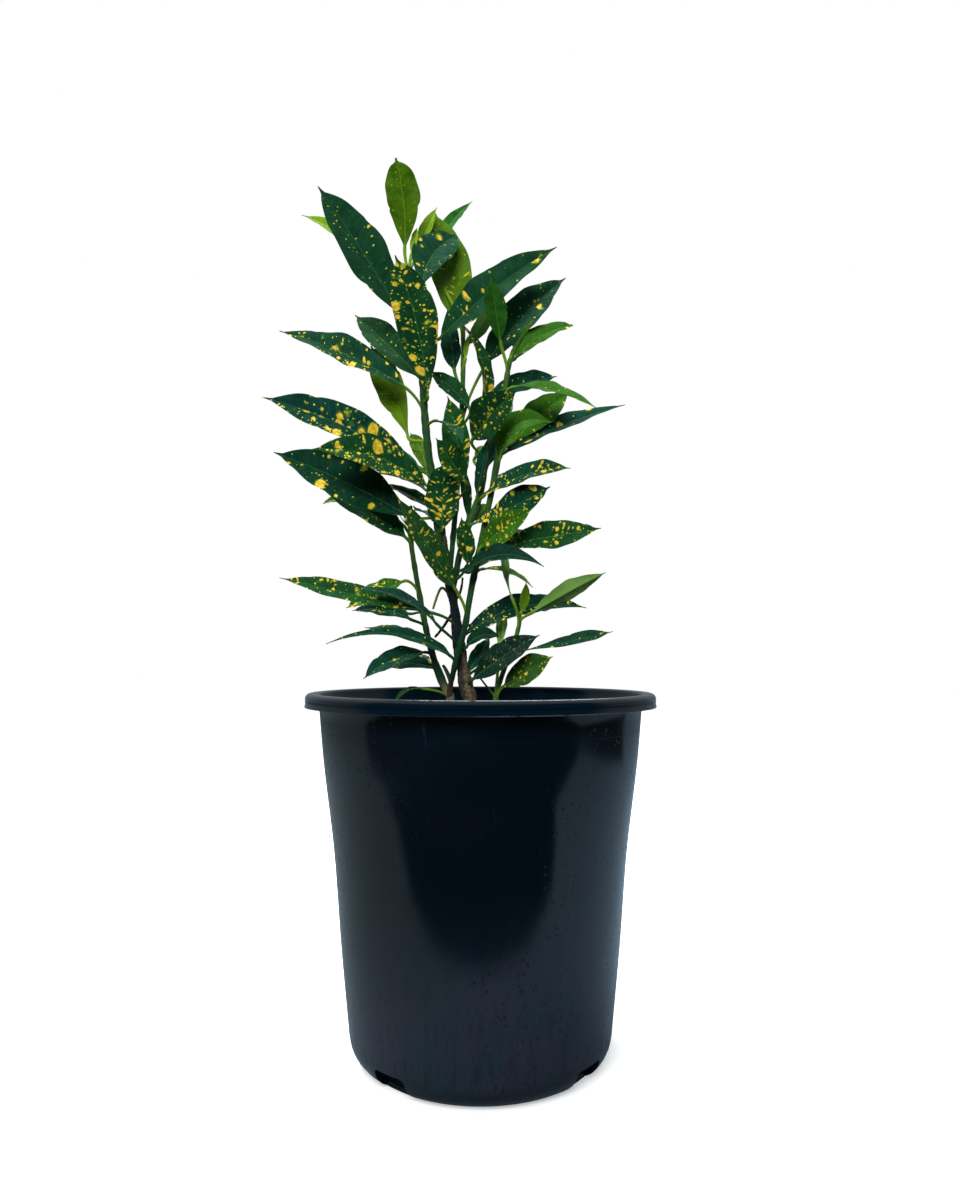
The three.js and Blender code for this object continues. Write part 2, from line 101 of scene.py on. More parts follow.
# Colours in linear light. Where there are two, a pattern runs from the first to the second.
COLD_GREEN = (0.0026, 0.025, 0.016), (0.005, 0.041, 0.026)
WARM_GREEN = (0.0045, 0.031, 0.010), (0.008, 0.050, 0.014)
RIPE_GREEN = (0.009, 0.070, 0.005), (0.020, 0.115, 0.009)
FRESH_GREEN = (0.022, 0.072, 0.001), (0.055, 0.115, 0.002)
# Painted shade that darkens whole leaves whose bright is below 0
PAINTED_SHADE_GREEN = (0.001, 0.010, 0.008)
LIME_GREEN = (0.15, 0.26, 0.008)
UNDERSIDE = (0.15, 0.30, 0.065), (0.16, 0.30, 0.03)
VEIN = (0.03, 0.11, 0.035), (0.13, 0.26, 0.03)
RIB = (0.035, 0.13, 0.04), (0.11, 0.24, 0.02)
STALK = (0.010, 0.045, 0.012), (0.07, 0.15, 0.010)
YOUNG_STALK = (0.13, 0.24, 0.012)
LIME_SPOT = (0.28, 0.40, 0.02), (0.50, 0.46, 0.03)
GOLDEN_SPOT = (0.42, 0.30, 0.012), (0.72, 0.47, 0.05)
SPOT_HALO = (0.10, 0.19, 0.010)
LEAF_DUST = (0.20, 0.22, 0.21)
FRESH_STEM = (0.018, 0.075, 0.008), (0.07, 0.15, 0.020)
OLD_STEM = (0.003, 0.020, 0.008), (0.009, 0.040, 0.012)
STEM_FLECK = (0.10, 0.10, 0.04)
OLIVE_STALK = (0.09, 0.11, 0.012)
STEM_FOOT = (0.16, 0.11, 0.07)
TAN_BARK = (0.030, 0.020, 0.014), (0.15, 0.105, 0.065)
SLATE_BARK = (0.003, 0.006, 0.007), (0.012, 0.017, 0.017)
BROWN_BARK = (0.016, 0.013, 0.008), (0.075, 0.055, 0.030)
MOSS = (0.03, 0.07, 0.015)
CLEAN_PLASTIC = (0.0003, 0.0022, 0.0045)
DUSTY_PLASTIC = (0.006, 0.012, 0.019), (0.013, 0.011, 0.022)
INNER_PLASTIC = (0.0010, 0.0065, 0.0120)
DRIP = (0.025, 0.032, 0.042)
PARTING_LINE = (0, 0, 0)
# Painted highlights on the front of the rim: a glint along its top edge and a lighter line on its lower lip
TOP_EDGE_GLINT = (0.40, 0.46, 0.50)
LIP_GLINT = (0.05, 0.08, 0.10)
# Painted shade: near-black soil where it shows in the drainage notches
NOTCH_SHADE_EARTH = (0.0004, 0.0008, 0.0012)
PEAT = (0.008, 0.005, 0.003), (0.045, 0.028, 0.017)
ROOM = (0.17, 0.215, 0.255), (0.52, 0.575, 0.585)
DIM_ROOM = (0.020, 0.10, 0.17)
GREY_SHEET = (0.108, 0.138, 0.155), (0.16, 0.225, 0.285)
PAST_SHEET = (0.004, 0.009, 0.012)
FLOOR_SHADE = (0.8, 0.8, 0.8)
FLOOR_GLOW = (0.42, 0.42, 0.42), (1, 1, 1)
WHITE = (1, 1, 1)

# Stems as seen from the viewpoint: across, up, depth behind the pot's axis, radius
MAIN_STEM = [
    (-5, 214, -4, 5.2), (-7.5, 252, -3, 4.9), (-10, 263, -2, 4.6), (-12.5, 276, 0, 4.2),
    (-14.5, 288, 0, 4), (-16.5, 302, 0, 3.7), (-18.5, 319, 0, 3.3), (-20.5, 331, 0, 3.1),
    (-23, 344, 0, 2.8), (-24.5, 360, 0, 2.3), (-26.5, 373, 0, 1.9), (-27.5, 382, 0, 1.6),
]
TALL_STEM = [
    (-24, 349, 0, 1.8), (-29, 362, -1, 2.7), (-31, 385, -1, 2.8), (-34, 409, 0, 2.7), (-38, 437, 0, 2.6),
    (-40.5, 462, 1, 2.5), (-42, 484, 2, 2.3), (-45, 509, 4, 2), (-49.2, 541, 5, 1.8),
]
YOUNG_STEM = [
    (-49.3, 541.4, 5, 1.8), (-51.3, 556, 5, 1.7), (-53, 570, 5, 1.3),
]
CENTRE_STEM = [
    (-22, 345, 2, 1.4), (-20, 372, 8, 2), (-17.5, 400, 11, 2), (-15, 440, 12, 2), (-13, 480, 12, 1.8),
    (-12.5, 518, 12, 1.3),
]
INNER_STEM = [
    (-20, 333, -1, 1.6), (-16, 357, -1, 2.3), (-12, 372, -1, 2.4), (-7, 386, 0, 2.4), (0, 406, 2, 2.2),
    (3.5, 425, 3, 2), (7, 443, 4, 1.8), (10, 456, 5, 1.4),
]
RIGHT_STEM = [
    (-20.5, 271.9, -3.2, 2), (-19.4, 277, -6, 2), (-17.8, 283, -7.2, 2.1), (-16, 290.5, -7.4, 2.3),
    (-12.9, 302, -7.2, 2.3), (-10.6, 312, -6.2, 2.1), (-6.8, 335, -4, 2.3), (-2, 358, -4, 2.3),
    (2.5, 380, -5, 2.2), (7.5, 404, -5, 2.2), (12.5, 431, -5, 2.1), (15.5, 455, -5, 2),
    (18, 482, -5, 1.9), (21.5, 503, -5, 1.5),
]
LEFT_STEM = [
    (-20, 214, 2, 3), (-21.8, 254, 3, 2.9), (-23.8, 261, 4, 3.5), (-27, 267, 5, 2.9),
    (-30.2, 275, 6, 2.6), (-33.8, 285, 8, 2.4), (-39, 305, 11, 2.1), (-43.6, 328, 13, 2),
    (-47.5, 350, 14, 1.9), (-50.5, 372, 14, 1.8), (-50.5, 396, 19, 1.2),
]
SMALL_STEM = [
    (10, 214, -10, 2.2), (11, 255, -10, 1.9), (14.6, 270, -9, 1.8), (19.6, 284, -8, 1.7), (25, 299, -8, 1.6),
    (27.6, 308, -8, 1.4), (29, 318, -9, 1),
]

# Leaves as seen from the viewpoint: foot (height up the stem), base (across, up, depth), tip (across, up,
# depth), blade width, roll, arch, its shape where that isn't LEAF_SHAPE, and its look
MAIN_LEAVES = [
    (304, -37, 319, -15, -146, 344, -26, 18, 40, 0, 0.58, 0.8, "gold"),
    (335, -15, 345, -13, 46, 352, -46, 19, 48, 11.5, 0.42, 1.1, "plain"),
    (299, -11, 303, 4, 77, 322, 18, 20, 36, 11, 0.46, 0.8, "dotted"),
    (262, -6, 270, -10, 43, 302.5, -44, 21, 30, 1.5, 0.52, 0.8, "speckled"),
    (290, -10, 294, -8, 15, 300.5, -5, 13, 45, 5, "plain"),
    (268, -8.5, 276, 4, 7, 301, 14, 12, 25, 0, "bold"),
    (337, -29.5, 349, 2, -58.5, 389, 6, 12, 84, 0, "dusty"),
    (300, 2, 312, 20, 56, 322, 92, 22, 60, 2, "some"),
    (266, -2, 278, 14, 28, 296, 88, 20, 50, 0, "some"),
]
TALL_LEAVES = [
    (469, -38.5, 475, -8, -62, 578, -24, 31, 6, 4, 0.6, 0.65, "dense_gold"),
    (500, -57, 534, 2, -118, 628, -16, 34, 20, 1, 0.52, 0.72, "speckled_few"),
    (476, -44, 489, 4, -91, 534.5, 34, 28, 25, 1, 0.5, 0.65, "few"),
    (459, -56, 483, -3, -146, 523, -12, 28, 37, 4, 0.48, 0.8, "clustered"),
    (440, -52.5, 446, 8, -79.5, 512, 26, 24, -22, 3, 0.6, 0.55, "pale_olive"),
    (424, -38.5, 420, 4, -51, 449, 36, 13, 10, 2, 0.55, 0.6, "olive"),
    (414, -45, 423, -5, -158.5, 475, -32, 30, 28, 5.5, 0.55, 0.8, "blotched"),
    (404, -39, 411, -9, -123, 437, -48, 27, 26, 8.5, 0.48, 0.8, "crowded"),
    (384, -51, 388, -4, -150, 435, -18, 35, 24, 2.5, 0.52, 0.8, "bold_dark"),
    (402, -40, 408, 6, -79, 420, 58, 15, 62, 3, "some"),
    (390, -34, 393, 3, -71, 412, 44, 13, 45, 2, "some"),
    (382, -34.5, 386, 4, -48, 393, 62, 18, 60, 2, "few"),
    (514, -29, 518, -1, 55.5, 584, -20, 29, 20, 4, 0.48, 0.8, "bold"),
    (451, -32, 458, -8, -13, 442, -48, 12, 48, 3, "some"),
    (374, -28, 379, -6, -26.5, 427, -12, 25, 4, 0, 0.5, 0.4, "herringbone"),
    (486, -45, 493, 14, -55, 560, 86, 24, 30, 0, "sprinkled"),
    (404, -44, 424, 16, -112, 452, 84, 24, 55, 2, "sprinkled"),
]
YOUNG_LEAVES = [
    (562, -55, 583, 5, -61.5, 648.5, 4, 24.5, 0, 2.5, 0.58, 0.5, "olive"),
    (560, -50, 579, 7, -46, 598, 10, 5.5, 10, 0, 0.5, 0.6, "lime"),
    (552, -69, 553, 12, -129.5, 607, 14, 17, 20, 10, "lime"),
    (550, -42, 556, -2, -18, 592, 26, 29, 2, 6.5, 0.58, 0.4, "bold_green"),
    (558, -45.3, 581, 22, -31.6, 612.5, 24, 9.5, 8, 1.2, "lime"),
]
CENTRE_LEAVES = [
    (505, -13, 529, 24, -33, 609, 34, 31, 0, 0.5, 0.46, 0.65, "half_ripe"),
    (514, -30, 588, 42, -6, 617, 50, 12, 26, 2, 0.42, 0.8, "green"),
    (374, -9, 388, 7, -13, 426, 8, 9, 30, 0, "few"),
    (474, -19, 495, 14, -24, 540, 18, 15, -15, 0, 0.42, 0.8, "few"),
    (492, -11, 503, 8, -9, 520, 8, 4.5, 20, 0, "lime"),
    (497, -9.5, 513, 14, 15, 545, 20, 12, 150, 0, "pale"),
    (444, 4.5, 499.5, 14, 62, 561.5, 4, 31, 25, 4, 0.5, 0.7, "few"),
    (450, -8, 467, 6, -38, 494, 9, 15, 20, 2, "few"),
    (397, -16, 416, 4, -24, 476, 2, 21, -18, 3, "streaked"),
    (396, -11, 414, -16, -32.5, 445.5, -36, 18, 10, 0, "streaked"),
    (500, -9, 536, 20, 40, 569, 88, 24, 50, 0, "some"),
    (396, -18, 412, 26, -20, 446, 92, 22, 20, 0, "some"),
]
INNER_LEAVES = [
    (426, -6, 444, -8, 26.5, 480, -42, 28, 8, 2, "dense"),
    (440, 2, 467, 1, -16.5, 531, 2, 17, 55, 8.5, 0.4, 0.8, "blotched"),
    (444, 6, 477, 4, 55.5, 490, 12, 18, 24, 1.5, 0.55, 0.8, "some"),
    (394, 2, 403, -7, 65.5, 423.5, -32, 19, 40, 5.5, 0.54, 0.8, "dense"),
    (372, -7, 382.5, -8, 50.5, 410, -22, 22, 24, -1.5, 0.66, 0.6, "dense"),
    (346, -9, 354, -5, -14, 388, -12, 14, 20, 0, "dense"),
    (394, -2.5, 403, -3, 6, 447, -9, 11, 42, 0, "few"),
    (376, -5, 386, 6, 7, 397, 12, 13, 150, 0, "pale"),
    (416, -4, 431, 10, 5, 440, 16, 8, 150, 0, "pale"),
    (408, 4.5, 424, 10, 24, 461.5, 18, 16, 38, 0, "few"),
    (348, -7, 348.5, 10, 34.5, 359, 24, 15, 52, 6, "some"),
    (398, 8, 408, 16, 46, 424, 90, 22, 60, 3, "some"),
    (436, 6, 448, 16, 22, 472, 92, 22, 40, 0, "some"),
]
RIGHT_LEAVES = [
    (490, 14.5, 515, -10, 7.5, 562, -32, 15.5, 0, 0, 0.55, 0.65, "fresh"),
    (499, 23, 504, -6, 39.5, 532.5, -30, 11, 68, 0, "olive"),
    (499, 25, 503, -3, 67, 527, 8, 16, 30, 5, 0.45, 0.35, "bright"),
    (477, 24.5, 482.5, -8, 84.5, 467, -26, 18, 52, 4, 0.42, 1, "bright"),
    (430, 25, 444, 8, 65, 478.5, 16, 23, 12, 2, 0.52, 0.8, "bright"),
    (426, 15, 432.5, -9, 51, 456.5, -32, 22, 28, 12, 0.38, 0.8, "bright"),
    (421, 17, 434.5, 4, 105, 469.5, 16, 20, 46, 3, 0.45, 0.8, "bold"),
    (358, 0, 366, -7, 37.5, 394, -30, 20, 15, 1, "blistered"),
    (357, 12, 368, -2, 87.5, 380, -10, 23, 25, -0.5, 0.55, 0.8, "gold"),
    (344, 2, 350.5, -2, 38, 337, 3, 10, 62, 4, "striped"),
    (312, -19, 337, -9, -61.5, 404, -44, 19, 26, 0, 0.42, 0.8, "dark_mottled"),
    (289, -31.5, 310, -20, -91, 336, -32, 13, 62, 7, 0.45, 0.8, "dusty"),
    (280, -21.5, 287, -8, -112, 296, -32, 13, 50, 12, 0.27, 1.1, "few"),
    (490, 24, 510, 14, 47, 548, 80, 22, 40, 0, "some"),
    (356, 14, 372, 14, 62, 377, 90, 20, 60, 0, "some"),
]
LEFT_LEAVES = [
    (352, -54, 373, 8, -116.5, 409, 4, 24, 32, 3, 0.48, 0.8, "sprinkled"),
    (371, -97, 400, 17, -114.5, 397.5, 19, 6, 30, 2, "pale"),
    (330, -56, 341.5, 11, -97.5, 322, 16, 20, 42, 0, 0.5, 0.65, "golden"),
    (307, -51, 314, 9, -93, 320, 26, 15, 42, 4, "few"),
    (280, -40, 290, 2, -85, 270.5, -22, 18, 42, 4, "few"),
    (274, -32, 278, 10, -82, 277, 32, 16, 46, 5, "few"),
    (253, -42.5, 263.5, -8, -63, 250, -22, 5, 50, 5, 0.4, 0.8, "dark_olive"),
    (380, -60, 394, 24, -112, 420, 92, 24, 55, 0, "some"),
    (316, -52, 318, 26, -108, 335, 92, 22, 60, 0, "some"),
    (292, -45, 301, 24, -84, 308, 88, 20, 70, 0, "some"),
    (272, -36, 280, 20, -62, 286, 86, 20, 60, 0, "some"),
]
SMALL_LEAVES = [
    (306, 23, 329, -14, 16, 368, -5, 9.5, 48, -2, 0.72, 0.5, "light"),
    (314, 29.5, 319, -9, 33, 341, -12, 7, 0, -1, "pale_olive"),
    (311, 38, 319, -12, 91, 348, -26, 15, 148, 0.5, 0.52, 0.8, "underside"),
    (284, 29.5, 291, -10, 96, 305, -22, 11, 40, -0.5, 0.68, 0.8, "few"),
    (252, 16.5, 265, -14, 52.5, 287, -42, 20, 28, 0.5, 0.55, 0.8, "mottled"),
    (254, 14, 291, 10, 17, 326, 26, 8.5, 20, 0, 0.55, 0.8, "light"),
]

# Bare side twigs, as seen: across, up, depth, radius
MAIN_TWIGS = [
    [(-20, 319, 0, 1.1), (-28, 307, 4, 1), (-33, 301, 6, 0.8)],
    [(-19, 326, 2, 1), (-14.5, 334, 5, 0.9), (-13, 344, 6, 0.8)],
]
MAIN_STALK = [(-21.5, 330.5, -1, 1.2), (-28.5, 336.5, -4, 1), (-34.5, 321.5, -6, 0.8)]
LEFT_TWIGS = [
    [(-22.8, 258, 2.5, 2.6), (-21.8, 266, 0, 2), (-20.6, 271.5, -3, 2.1)],
    [(-21.5, 268, -1, 1.6), (-24.3, 275.5, 1, 1.5), (-27.2, 280.5, 3, 1.1)],
]
SMALL_TWIGS = [
    [(11.3, 257, -10, 0.9), (5, 264.5, -7, 0.8), (-1.5, 273, -4, 0.6)],
]

# How a leaf looks: share of fine, middling and large spots, how young, bright (below 0: darker, which is
# painted shade), pale and dusty it is, and the share of spots that are drawn out along its side veins
LOOKS = {
    "plain": (0.05, 0, 0, 0, -0.6, 0, 0, 0),
    "few": (0.25, 0.14, 0.03, 0, 0, 0, 0, 0),
    "speckled_few": (0.28, 0.1, 0, 0, 0, 0, 0, 0),
    "some": (0.4, 0.35, 0.1, 0, 0, 0, 0, 0),
    "sprinkled": (0.5, 0.2, 0.02, 0, 0.1, 0, 0, 0),
    "dotted": (0.9, 0.55, 0.04, 0, -0.15, 0, 0, 0),
    "clustered": (0.45, 0.42, 0.1, 0, 0, 0, 0, 0.12),
    "dense": (0.95, 0.95, 0.4, 0, 0.1, 0, 0, 0.1),
    "dense_gold": (1.4, 1.2, 0.6, 0, -0.1, 0, 0, 0),
    "crowded": (1, 1, 0.8, 0, 0.1, 0, 0, 0.3),
    "gold": (0.5, 0.6, 0.4, 0, 0.15, 0, 0, 0.1),
    "golden": (0.8, 1, 0.6, 0.15, 0.45, 0, 0, 0.5),
    "blotched": (0.6, 0.7, 1, 0, 0, 0, 0, 0),
    "bold": (0.12, 0.15, 0.28, 0, 0, 0, 0, 0),
    "bold_green": (0.2, 0.15, 0.28, 0, 0.12, 0, 0, 0),
    "bold_dark": (0.16, 0.2, 0.28, 0, -0.3, 0, 0, 0),
    "dusty": (0.25, 0.1, 0, 0, 0, 0, 0.3, 0),
    "speckled": (0.15, 0.12, 0, 0, -0.75, 0, 1, 0),
    "olive": (0.6, 0, 0, 1, 0, 0, 0, 0),
    "dark_olive": (0.1, 0, 0, 0.15, -0.8, 0, 0, 0),
    "pale_olive": (0.4, 0, 0, 1, 0.4, 0, 0, 0),
    "lime": (0.1, 0, 0, 1, 1, 0.2, 0, 0),
    "half_ripe": (0.3, 0.2, 0.1, 0.6, 0.5, 0, 0, 0.4),
    "green": (0.05, 0, 0, 0, 0.8, 0, 0, 0),
    "fresh": (0.1, 0, 0, 0.05, 0.8, 0, 0, 0),
    "bright": (0.25, 0.1, 0, 0.12, 0.9, 0, 0, 0),
    "blistered": (1, 0.5, 0, 0.12, 0.85, 0, 0, 0.4),
    "mottled": (0.9, 0.8, 0.1, 0.2, 0.4, 0, 0, 0.1),
    "dark_mottled": (0.9, 0.8, 0.1, 0.15, 0.22, 0, 0, 0.1),
    "striped": (0.5, 0.4, 0.3, 0.2, 0.8, 0.2, 0, 1),
    "herringbone": (0.6, 0.4, 0.3, 0, 0.1, 0, 0, 1),
    "streaked": (0.5, 0.1, 0, 0, 0.4, 0, 0, 0.8),
    # Painted light: the light look gives leaves that lie in the shade of others the pale green of an
    # underside
    "light": (0.1, 0, 0, 0, 0.8, 0.9, 0, 0),
    "pale": (0.1, 0, 0, 0.1, 0.7, 0.8, 0, 0),
    "underside": (0.1, 0, 0, 0.1, 0.8, 1, 0, 0),
}

# Loose lumps on the soil: how many a square metre, seed, smallest and largest half sizes in metres, colours,
# and the scale of their clumps
LUMPS = [
    ("soil_crumbs", 45000, 3, (0.0008, 0.0008, 0.0006), (0.0024, 0.0022, 0.0014),
     ((0.010, 0.006, 0.004), (0.055, 0.034, 0.020)), 240.0),
    ("bark_chips", 4500, 11, (0.0030, 0.0014, 0.0006), (0.0062, 0.0026, 0.0011),
     ((0.03, 0.018, 0.010), (0.14, 0.085, 0.045)), 150.0),
    ("white_grains", 3500, 5, (0.0008, 0.0008, 0.0007), (0.0017, 0.0017, 0.0013),
     ((0.45, 0.44, 0.41), (0.75, 0.74, 0.70)), 300.0),
]

EYE = Vector((0, -VIEW_DISTANCE, VIEW_HEIGHT))
TO_VIEWER = Vector((0, -1, 0))


def seen(across, up, depth):
    """The place at this depth that the viewer sees at this spot of the upright plane through the pot."""
    return EYE + (Vector((across, 0, up)) - EYE) * (VIEW_DISTANCE + depth) / VIEW_DISTANCE


def square_to(direction, along):
    return (direction - along * direction.dot(along)).normalized()


def bezier(points, t):
    while len(points) > 1:
        points = [a.lerp(b, t) for a, b in zip(points, points[1:])]
    return points[0]


def bezier_way(points, t):
    return bezier([b - a for a, b in zip(points, points[1:])], t).normalized()


def smooth(value, low, high):
    share = min(max((value - low) / (high - low), 0), 1)
    return share * share * (3 - 2 * share)


def placed(name, data):
    """A new object with this data in the scene."""
    thing = bpy.data.objects.new(name, data)
    bpy.context.scene.collection.objects.link(thing)
    return thing


def mesh_of(name, points, faces):
    """A mesh from points in millimetres."""
    mesh = bpy.data.meshes.new(name)
    mesh.from_pydata([p * MM for p in points], [], faces)
    return mesh


def shade(mesh, degrees):
    """Makes the faces smooth, and edges sharp that turn by more than this."""
    mesh.shade_smooth()
    mesh.set_sharp_from_angle(angle=math.radians(degrees))


def mesh_piece(name, points, faces, material, values=None):
    """A piece from points in millimetres, with the vectors that its material reads there."""
    mesh = mesh_of(name, points, faces)
    mesh.update()
    shade(mesh, 50)
    for label, rows in (values or {}).items():
        layer = mesh.attributes.new(label, "FLOAT_VECTOR", "POINT")
        layer.data.foreach_set("vector", np.array(rows, np.float32).ravel())
    mesh.materials.append(material)
    return placed(name, mesh)


def skin_faces(rings, around, first):
    """Faces of a closed skin over rings of points, which run anticlockwise about the way they follow."""
    faces = []
    for i in range(rings - 1):
        low, high = first + i * around, first + (i + 1) * around
        for j in range(around):
            k = (j + 1) % around
            faces.append((low + j, low + k, high + k, high + j))
    return faces


def on_stem(places, height):
    """The middle of the stem at this seen height, and the way the stem goes there."""
    i = 0
    while i + 2 < len(places) and places[i + 1][1] < height:
        i += 1
    low, high = places[i], places[i + 1]
    part = (height - low[1]) / (high[1] - low[1])
    foot = seen(*(a + (b - a) * part for a, b in zip(low[:3], high[:3])))
    return foot, (seen(*high[:3]) - seen(*low[:3])).normalized()


def fullness(place, broadest, pointed):
    """The part of the width reached at this place along the blade, with a narrow drip tip at its end."""
    body = min(place / BODY_SHARE, 0.999)
    power = math.log(0.5) / math.log(broadest)
    blade = math.sin(math.pi * body ** power) ** (POINTED if body < broadest else pointed)
    drip = DRIP_WIDTH * (1 - place) ** 0.7 * smooth(place, 0.6, 0.9)
    return math.hypot(blade, drip)


class Leaf:
    """One leaf: where its stalk and blade go, which way it faces, and its points with what they carry."""

    def __init__(self, places, row):
        height, *ends = row[:7]
        self.width, roll, self.arch, *shape, self.look = row[7:]
        self.broadest, self.pointed = shape or LEAF_SHAPE
        self.phase = ends[3] + ends[4]
        self.seed = 1.7 * ends[3] + 0.9 * ends[4]
        base, tip = seen(*ends[:3]), seen(*ends[3:])
        chord = (tip - base).normalized()
        facing = square_to(TO_VIEWER, chord)
        upper = chord.cross(facing)
        if upper.z < 0:
            upper = -upper
        middle = (base + tip) / 2 + upper * 2 * self.arch
        foot, along = on_stem(places, height)
        reach = (base - foot).length / 3
        self.blade = [base, middle, tip]
        self.stalk = [foot, foot + along * reach, base - (middle - base).normalized() * reach, base]
        turn = math.radians(roll)
        self.face = facing * math.cos(turn) + upper * math.sin(turn)

    def stations(self):
        """Centre, way along, facing and place of each station. The place is below 0 on the stalk."""
        found = []
        for i in range(STALK_STEPS):
            t = i / STALK_STEPS
            found.append([bezier(self.stalk, t), bezier_way(self.stalk, t), None, t - 1])
        for i in range(BLADE_STEPS + 1):
            part = i / BLADE_STEPS
            t = 0.55 * part + 0.45 * (1 - math.cos(math.pi * part)) / 2
            found.append([bezier(self.blade, t), bezier_way(self.blade, t), None, t])
        half = min(range(len(found)), key=lambda i: abs(found[i][3] - 0.5))
        for steps in (range(half, len(found)), range(half, -1, -1)):
            face = self.face
            for i in steps:
                face = square_to(face, found[i][1])
                found[i][2] = face
        return found

    def half_width(self, place, side):
        """The blade's width on one side of its midrib, with an uneven edge and one nick."""
        full = self.width / 2 * fullness(min(max(place, 0.001), 0.999), self.broadest, self.pointed)
        uneven = 0.035 * math.sin(9 * place + self.seed + side) + 0.022 * math.sin(23 * place + 2 * side)
        nick = 0.55 + 0.3 * math.sin(self.seed * 5 + 2 * side)
        uneven -= 0.09 * math.exp(-((place - nick) / 0.022) ** 2)
        return max(full * (1 + uneven), 0.25 + 0.35 * (1 - place))

    def lift(self, place, side, half):
        """How far the blade rises over its midrib at this share of its half width."""
        far = abs(side)
        hand = math.copysign(1, side)
        wave = WAVE * math.sin(4 * math.pi * place + self.phase + hand)
        ripple = 0.035 * math.sin(31 * place + self.seed * hand)
        return half * (FOLD * far ** 1.12 + (wave + ripple) * far ** 2 + 0.05 * math.sin(math.pi * far))

    def ring(self, centre, along, face, place):
        """The points round one station: over the upper face from left to right, and back below it."""
        across = along.cross(face)
        opened = smooth(place, -0.02, 0.09)
        girth = PETIOLE_RADIUS * (1.25 - 0.25 * math.sin(math.pi * (place + 1)))
        points = []
        for below in (False, True):
            for side in (reversed(SIDES) if below else SIDES):
                half = self.half_width(place, math.copysign(1, side)) if place > 0 else PETIOLE_RADIUS
                thick = EDGE_THICKNESS * (1.5 - abs(side))
                rib = RIB_HEIGHT * (1.15 - place) * math.exp(-(side * half / 0.9) ** 2)
                height = self.lift(place, side, half) + (-thick - rib if below else thick) / 2
                on_blade = centre + across * side * half + face * height
                angle = math.pi * (side / 2 if not below else 1 - side / 2)
                on_stalk = centre + across * girth * math.sin(angle) + face * girth * 0.85 * math.cos(angle)
                points.append((on_stalk.lerp(on_blade, opened), side, half, below))
        return points

    def build(self, foliage):
        """Adds this leaf's points, faces and values to the foliage."""
        first = len(foliage.points)
        look = LOOKS[self.look]
        stations = self.stations()
        run = 0.0
        before = stations[0][0]
        for centre, along, face, place in stations:
            run += (centre - before).length
            before = centre
            wear = (look[6], 1 - smooth(place, -0.03, 0.05), look[7])
            for point, side, half, below in self.ring(centre, along, face, place):
                share = (abs(side), max(place, 0), 1.0 if below else 0.0)
                foliage.add(point, (side * half, run, self.seed), share, look[:3], look[3:6], wear)
        around = 2 * len(SIDES)
        foliage.faces += skin_faces(len(stations), around, first)
        last = first + (len(stations) - 1) * around
        for j in range(around // 2 - 1):
            a, b, c, d = j, j + 1, around - 2 - j, around - 1 - j
            foliage.faces.append((first + a, first + d, first + c, first + b))
            foliage.faces.append((last + a, last + b, last + c, last + d))


class Foliage:
    """The points of all leaves of one stem, with the values that their material reads."""

    def __init__(self):
        self.points, self.faces = [], []
        self.values = {"place": [], "share": [], "spots": [], "tone": [], "wear": []}

    def add(self, point, *values):
        self.points.append(point)
        for rows, value in zip(self.values.values(), values):
            rows.append(value)


def leaves(name, places, rows, material):
    foliage = Foliage()
    for row in rows:
        Leaf(places, row).build(foliage)
    return mesh_piece(name, foliage.points, foliage.faces, material, foliage.values)


def stem_course(places):
    """A smooth course through the stem's places: centre, way along and radius of each station."""
    knots = [seen(*place[:3]) for place in places]
    course = []
    for i in range(len(knots) - 1):
        before, after = knots[max(i - 1, 0)], knots[min(i + 2, len(knots) - 1)]
        a, b = knots[i], knots[i + 1]
        steps = max(2, round((b - a).length / STEM_STEP))
        bend = [a, a + (b - before) / 6, b - (after - a) / 6, b]
        for k in range(steps):
            t = k / steps
            radius = places[i][3] + (places[i + 1][3] - places[i][3]) * t
            course.append((bezier(bend, t), bezier_way(bend, t), radius))
    course.append((knots[-1], (knots[-1] - knots[-2]).normalized(), places[-1][3]))
    return course


def bark_height(point):
    """A fixed, uneven height in millimetres, from a few waves that cross each other."""
    x, y, z = point
    coarse = math.sin(0.9 * x + 1.7 * math.sin(0.31 * z)) * math.sin(0.8 * y + 0.45 * z)
    fine = math.sin(2.1 * x + 1.3 * z) * math.sin(1.9 * y - 1.1 * z + 2)
    return 0.6 * coarse + 0.4 * fine


def stem(points, faces, places, feet, sides, roughness):
    """Adds a round stem with a swelling under each leaf's foot, closed by low domes at both ends."""
    course = stem_course(places)
    first = len(points)
    front = square_to(TO_VIEWER, course[0][1])
    stations = [(course[0], *dome) for dome in START_DOME]
    stations += [(station, 1, 0) for station in course]
    stations += [(course[-1], *dome) for dome in END_DOME]
    for (centre, way, radius), share, shift in stations:
        front = square_to(front, way)
        side = way.cross(front)
        swell = sum(math.exp(-((centre - foot).length / (1.1 * radius + 0.8)) ** 2) for foot in feet)
        for j in range(sides):
            turn = 2 * math.pi * j / sides
            outwards = front * math.cos(turn) + side * math.sin(turn)
            bumps = roughness * bark_height(centre + outwards * radius)
            reach = radius * share * (1 + 0.16 * min(swell, 1.2)) + bumps
            points.append(centre + way * radius * shift + outwards * reach)
    faces += skin_faces(len(stations), sides, first)
    faces.append([first + j for j in reversed(range(sides))])
    faces.append([len(points) - sides + j for j in range(sides)])


def stems(name, places, rows, twigs, material, sides, roughness):
    points, faces = [], []
    feet = [on_stem(places, row[0])[0] for row in rows]
    stem(points, faces, places, feet, sides, roughness)
    for twig in twigs:
        stem(points, faces, twig, [], 10, roughness / 2)
    return mesh_piece(name, points, faces, material)


def arc(centre_radius, centre_height, radius, start, end, steps):
    """Points of a profile on an arc, with 0 degrees outwards and 90 degrees up."""
    found = []
    for i in range(steps + 1):
        turn = math.radians(start + (end - start) * i / steps)
        found.append((centre_radius + radius * math.cos(turn), centre_height + radius * math.sin(turn)))
    return found


